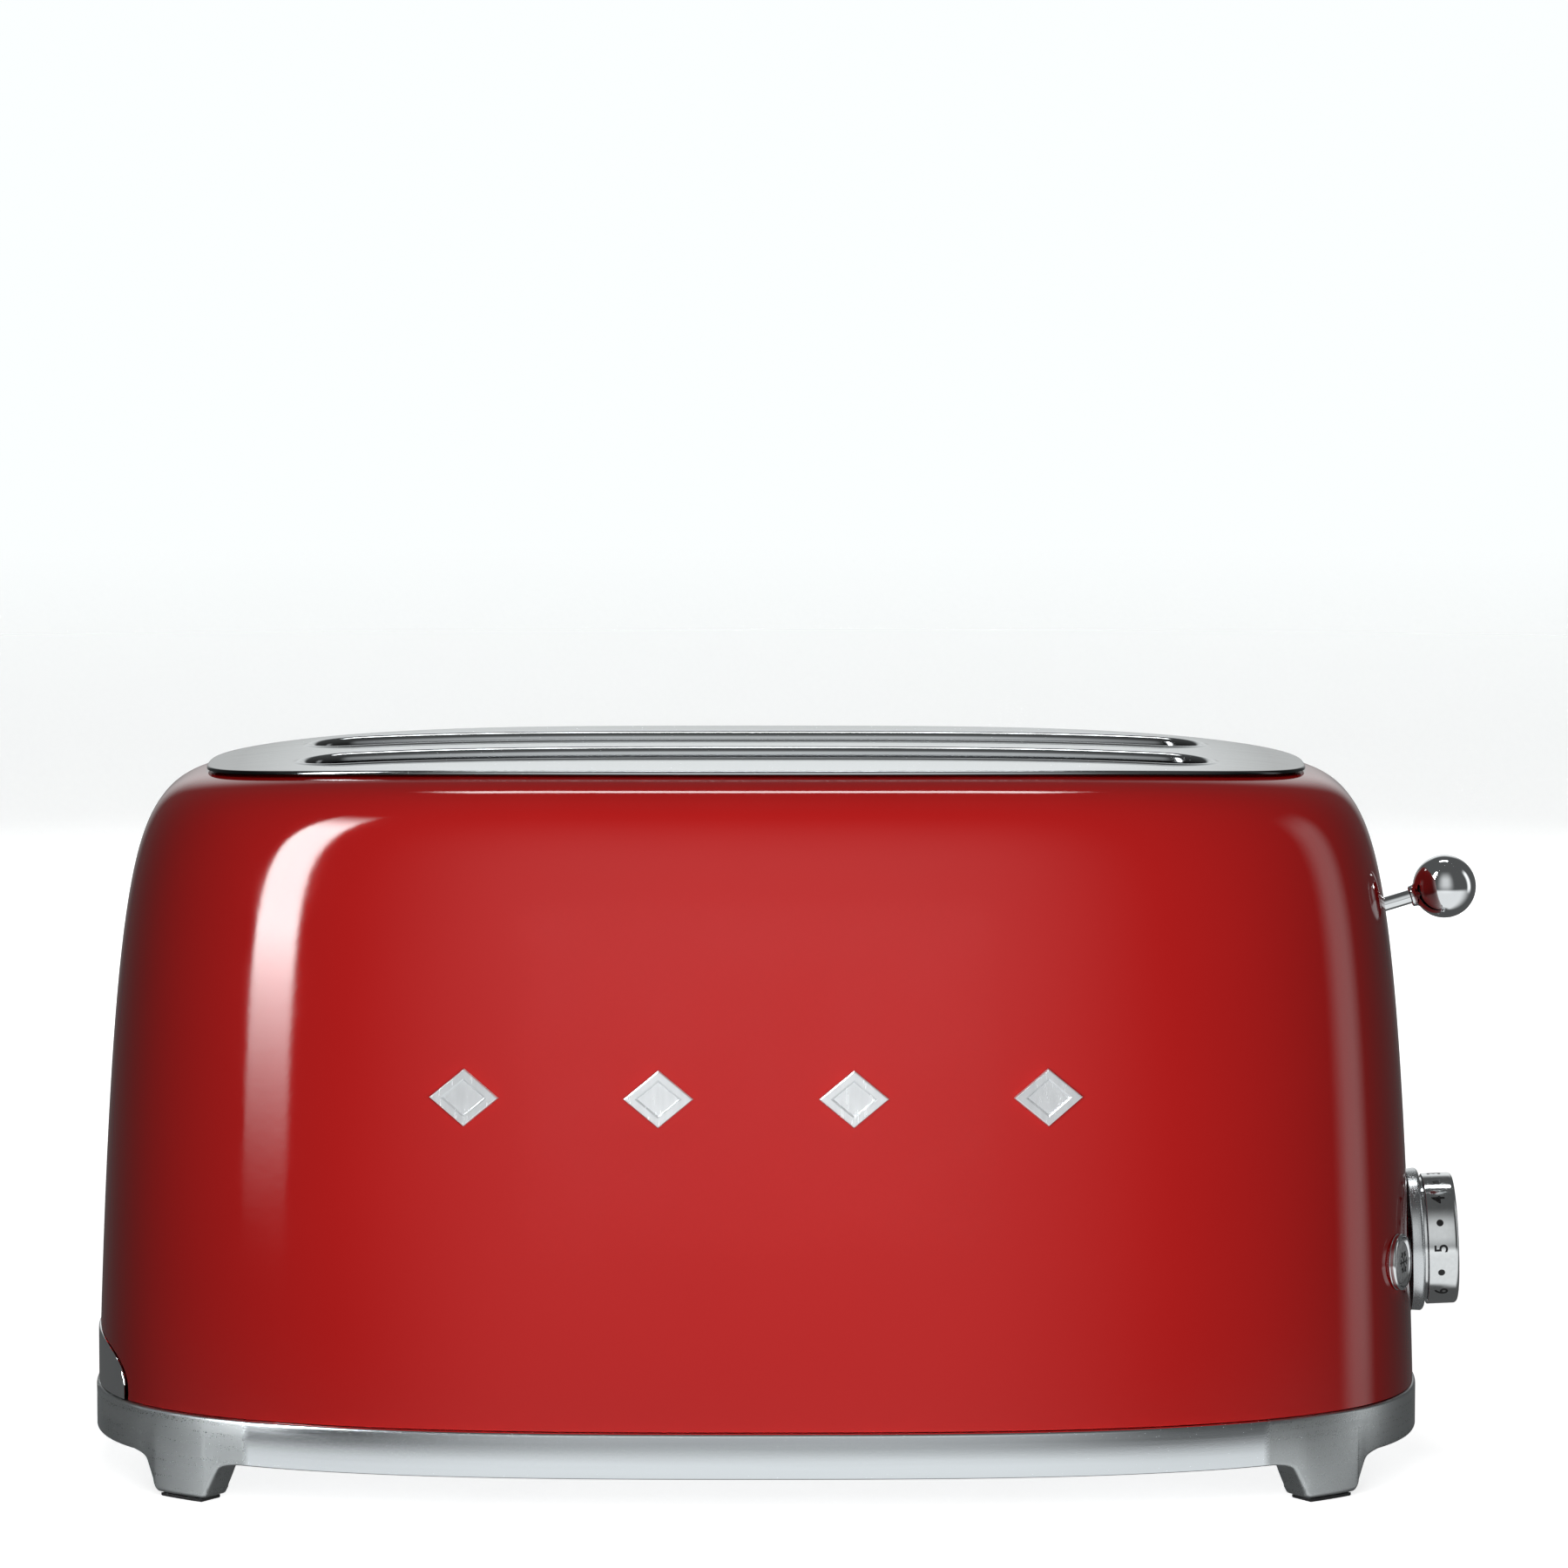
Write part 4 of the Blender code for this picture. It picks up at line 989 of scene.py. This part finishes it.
def stroke(path, width, height, lift):
    """A flat printed line along a path of two points."""
    a, b = Vector(path[0]), Vector(path[1])
    side = (b - a).normalized().orthogonal() * width / 2
    corners = [a + side, b + side, b - side, a - side]
    verts = [(p.x, p.y, z) for z in (lift, lift + height) for p in corners]
    return mesh_from(verts, [(0, 1, 2, 3), (4, 7, 6, 5), (0, 4, 5, 1), (1, 5, 6, 2), (2, 6, 7, 3),
                             (3, 7, 4, 0)])


def snow_mark(size):
    """Six arms with a small fork on each."""
    paths = []
    for k in range(6):
        turn = Matrix.Rotation(math.pi / 3 * k, 2)
        paths.append((Vector((0, 0)), turn @ Vector((size, 0))))
        for side in (-1, 1):
            fork = Vector((size * 0.82, side * size * 0.28))
            paths.append((turn @ Vector((size * 0.52, 0)), turn @ fork))
    return paths


def stop_mark(size):
    """A plain cross."""
    reach = size * 0.72
    return [(Vector((-reach, -side * reach)), Vector((reach, side * reach))) for side in (1, -1)]


def make_buttons():
    for name, mark in (("defrost", snow_mark), ("cancel", stop_mark)):
        place = control_place(name)
        bezel = rounded([(0.0067, 0.0004, 0), (0.0081, 0.0004, 0.0002), (0.0079, 0.0022, 0.0007),
                         (0.0067, 0.0022, 0.0006)], steps=5)
        ring = moved(lathe(bezel, 72), place)
        add_piece(f"{name}_ring", ring, CHROME, "root", f"{name}_button_bezel", sharp=60)
        crown = rounded([(0.0062, -0.0036, 0), (0.0062, 0.0017, 0.0007), (0.0048, 0.0021, 0.002),
                         (ON_AXIS, 0.0022, 0)], steps=5, closed=False)
        face = [(ON_AXIS, -0.0054), (0.0016, -0.0054), (0.0016, -0.0036), *crown]
        cap = moved(lathe(face, 72), place)
        button = f"{name}_button"
        add_piece(f"{name}_cap", cap, PALE_PLASTIC, button, button, sharp=40)
        print_mesh = joined(*[stroke(path, 0.00048, 0.00016, 0.00205) for path in mark(0.0033)])
        add_piece(f"{name}_mark", moved(print_mesh, place), BLACK_PRINT, button, slot="black_plastic")


# ---------------------------------------------------------------- inside pieces

def make_guards():
    """Wire grilles that centre the bread, each with a pivot bar and bent tops."""
    for place in ("front_outer", "front_inner", "rear_inner", "rear_outer"):
        low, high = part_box(f"bread_guard_{place}")
        y = (low.y + high.y) / 2
        pivot = low.z + GUARD_PIN_RADIUS
        away = math.copysign(1, y - math.copysign(SLOT_Y, y))
        wires = [tube([(low.x, y, pivot), (high.x, y, pivot)], GUARD_PIN_RADIUS - 0.00003, 12)]
        half = (high.x - low.x) / 2 - 0.0085
        for z in (pivot + 0.040, pivot + 0.082, high.z - 0.0060):
            wires.append(tube([(CENTRE_X - half, y, z), (CENTRE_X + half, y, z)], 0.00080))
        for k in range(-10, 11):
            x = CENTRE_X + half * k / 10
            path = [(x, y, pivot), (x, y, high.z - 0.0120), (x, y + away * 0.0006, high.z - 0.0070),
                    (x, y + away * 0.0018, high.z - 0.0030), (x, y + away * 0.0030, high.z - 0.0006)]
            wires.append(tube(path, 0.00075, 8, side=Vector((1, 0, 0))))
        grille = joined(*wires)
        add_piece(f"guard_wires_{place}", grille, BRIGHT_WIRE, f"guard_{place}", f"bread_guard_{place}")


def make_crumb_tray():
    """A pressed pan with rounded corners, a rolled rim and three stiffening beads."""
    low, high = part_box("crumb_tray")
    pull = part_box("crumb_tray_pull")[1].x
    floor, top, wall = low.z, high.z, 0.0008
    back = pull + 0.0072

    def outline(inset, radius):
        x0, x1, y1 = back + inset, high.x - inset, high.y - inset
        return rounded([(x1, y1, radius), (x0, y1, radius), (x0, -y1, radius), (x1, -y1, radius)], steps=8)

    levels = [(0.0012, 0.0040, floor), (0.0004, 0.0048, floor + 0.0003), (0.0, 0.0052, floor + 0.0011),
              (0.0, 0.0052, top - 0.0003), (0.0002, 0.0050, top - 0.00005), (wall * 0.6, 0.0046, top),
              (wall, 0.0042, top - 0.0003), (wall, 0.0042, floor + 0.0014),
              (wall + 0.0004, 0.0036, floor + wall + 0.0001), (wall + 0.0014, 0.0030, floor + wall)]
    rows = [[(x, y, z) for x, y in outline(inset, radius)] for inset, radius, z in levels]
    pan = skin(rows, caps=True)
    beads = []
    for y in (-0.022, 0.0, 0.022):
        rows = []
        for scale, rise in ((1.0, -0.0002), (0.93, 0.0004), (0.75, 0.0007)):
            spread = 0.0040 * scale
            points = stadium((back + high.x) / 2, y, high.x - back - 0.030 + spread, spread, steps=10)
            rows.append([(px, py, floor + wall + rise) for px, py in points])
        beads.append(skin(rows, caps=True))
    root, half = back + 0.004, 0.018
    tongue = prism([(low.x, -half), (root, -half), (root, half), (low.x, half)], floor, floor + 0.0028)
    add_piece("crumb_pan", joined(pan, *beads, tongue), ZINC_STEEL, "crumb_tray", "crumb_tray", sharp=40)


# ---------------------------------------------------------------- studio

def make_floor():
    """A round pale floor that fades out into the white surroundings."""
    steps = 96
    turns = 2 * math.pi * np.arange(steps) / steps
    verts, faces = [(0, 0, 0)], []
    radii = (0.4, 0.8, 1.6, 3.2, 4.5)
    for r in radii:
        verts += [(r * math.cos(a), r * math.sin(a), 0) for a in turns]
    for k in range(steps):
        after = (k + 1) % steps
        faces.append((0, 1 + k, 1 + after))
        for ring in range(len(radii) - 1):
            a, b = 1 + steps * ring, 1 + steps * (ring + 1)
            faces.append((a + k, b + k, b + after, a + after))
    mesh = mesh_from(verts, faces)
    paint = Paint("floor_paper", (0.86, 0.86, 0.86), 0.9)
    paint.colour(paint.noise(3, 2), (0.85, 0.85, 0.85), (0.87, 0.87, 0.87))
    reach = paint.add("VectorMath", Vector=paint.place)
    reach.operation = "LENGTH"
    paint.drive("Alpha", paint.between(reach.outputs["Value"], 1.0, 0.0, start=0.9, end=3.6))
    paint.shader.inputs["Emission Color"].default_value = (1, 1, 1, 1)
    paint.shader.inputs["Emission Strength"].default_value = 0.75
    mesh.materials.append(paint.material)
    floor = put("floor", mesh)
    floor.visible_diffuse = False
    floor.visible_glossy = False


def add_light(name, place, target, width, height, radiance):
    """A soft panel that lights diffuse surfaces only."""
    data = bpy.data.lights.new(name, "AREA")
    data.shape = "RECTANGLE"
    data.size, data.size_y = width, height
    data.energy = radiance * math.pi * width * height
    light = put(name, data)
    light.location = place
    light.rotation_euler = (Vector(target) - Vector(place)).to_track_quat("-Z", "Y").to_euler()
    light.visible_camera = False
    light.visible_glossy = False


def make_lights():
    """Soft panels that light the paint and the floor; reflections come from the surroundings."""
    add_light("key", (CENTRE_X, -0.52, 0.175), (CENTRE_X, 0, 0.115), 0.30, 0.24, 8.6)
    add_light("top", (0, 0, 1.6), (0, 0, 0), 1.0, 1.0, 1.5)
    for name, side in (("back_left", -1), ("back_right", 1)):
        add_light(name, (0.75 * side, 1.30, 0.55), (0, 0, 0.1), 0.7, 0.7, 3.6)


class Studio(Shading):
    """Directions of the surroundings, and soft panels of light placed in them.

    facing is a direction's angle from the front (-Y) towards +X, aside is the same without its sign,
    and rise is its height over the horizon, all in degrees.
    """

    def __init__(self, tree):
        super().__init__(tree)
        x, y, z = self.axes(self.add("TexCoord").outputs["Generated"])
        self.facing = self.math("DEGREES", self.math("ARCTAN2", x, self.math("MULTIPLY", y, -1.0)))
        self.aside = self.math("ABSOLUTE", self.facing)
        self.rise = self.math("DEGREES", self.math("ARCSINE", z))

    def edge(self, source, dark, lit):
        step = self.add("MapRange", Value=source, From_Min=dark, From_Max=lit)
        step.interpolation_type = "SMOOTHSTEP"
        return step.outputs["Result"]

    def between(self, source, start, end, soft):
        return self.math("MULTIPLY", self.edge(source, start - soft, start + soft),
                         self.edge(source, end + soft, end - soft))

    def panel(self, brightness, across, across_span, across_soft, rise_span, rise_soft):
        """A panel seen between two angles across and two angles of rise, with soft edges."""
        shape = self.math("MULTIPLY", self.between(across, *across_span, across_soft),
                          self.between(self.rise, *rise_span, rise_soft))
        return self.math("MULTIPLY", shape, brightness)


def make_world():
    """A white backdrop, with a plain studio of six soft panels that the glossy parts reflect."""
    world = bpy.data.worlds.new("studio")
    bpy.context.scene.world = world
    world.use_nodes = True
    world.cycles.sampling_method = "NONE"
    studio = Studio(world.node_tree)
    front = studio.panel(0.6, studio.facing, (-20, 20), 16, (-6, 45), 20)
    left_strip = studio.panel(22.0, studio.facing, (-57, -45), 1, (4, 50), 8)
    right_strip = studio.panel(1.1, studio.facing, (90, 106), 6, (-12, 35), 8)
    ceiling = studio.panel(10.0, studio.aside, (158, 200), 3, (64, 69), 1.5)
    back = studio.panel(0.8, studio.aside, (164, 210), 8, (0, 28), 10)
    below = studio.panel(0.75, studio.aside, (-40, 85), 30, (-80, -10), 5)
    ambient, least = 0.09, 0.06
    light = studio.math("ADD", front, ambient)
    for panel in (left_strip, right_strip, ceiling, back, below):
        light = studio.math("ADD", light, panel)
    rays = studio.add("LightPath")
    unlit = studio.math("SUBTRACT", 1.0, rays.outputs["Is Diffuse Ray"])
    seen = studio.math("MAXIMUM", studio.math("MULTIPLY", light, unlit), least)
    backdrop = studio.math("MAXIMUM", seen, rays.outputs["Is Camera Ray"])
    studio.link(backdrop, studio.nodes["Background"].inputs["Strength"])
    studio.nodes["Background"].inputs["Color"].default_value = (0.97, 1.0, 1.0, 1)


def make_camera():
    """The photo's viewpoint: 2.2 m in front of the middle, looking down a little."""
    data = bpy.data.cameras.new("camera")
    data.lens, data.sensor_width = 178.0, 36.0
    data.shift_x = 0.0178
    camera = put("camera", data)
    camera.location = (CENTRE_X, -2.20, 0.4205)
    camera.rotation_euler = (math.radians(90 - 5.9), 0, 0)
    bpy.context.scene.camera = camera


def main():
    bpy.context.scene.view_settings.view_transform = "Standard"
    dress_frame()
    make_shell()
    make_top_plate()
    make_base_ring()
    make_foot_pads()
    make_tray_pull()
    make_emblems()
    make_lever()
    make_knob()
    make_buttons()
    make_guards()
    make_crumb_tray()
    make_floor()
    make_lights()
    make_world()
    make_camera()


main()
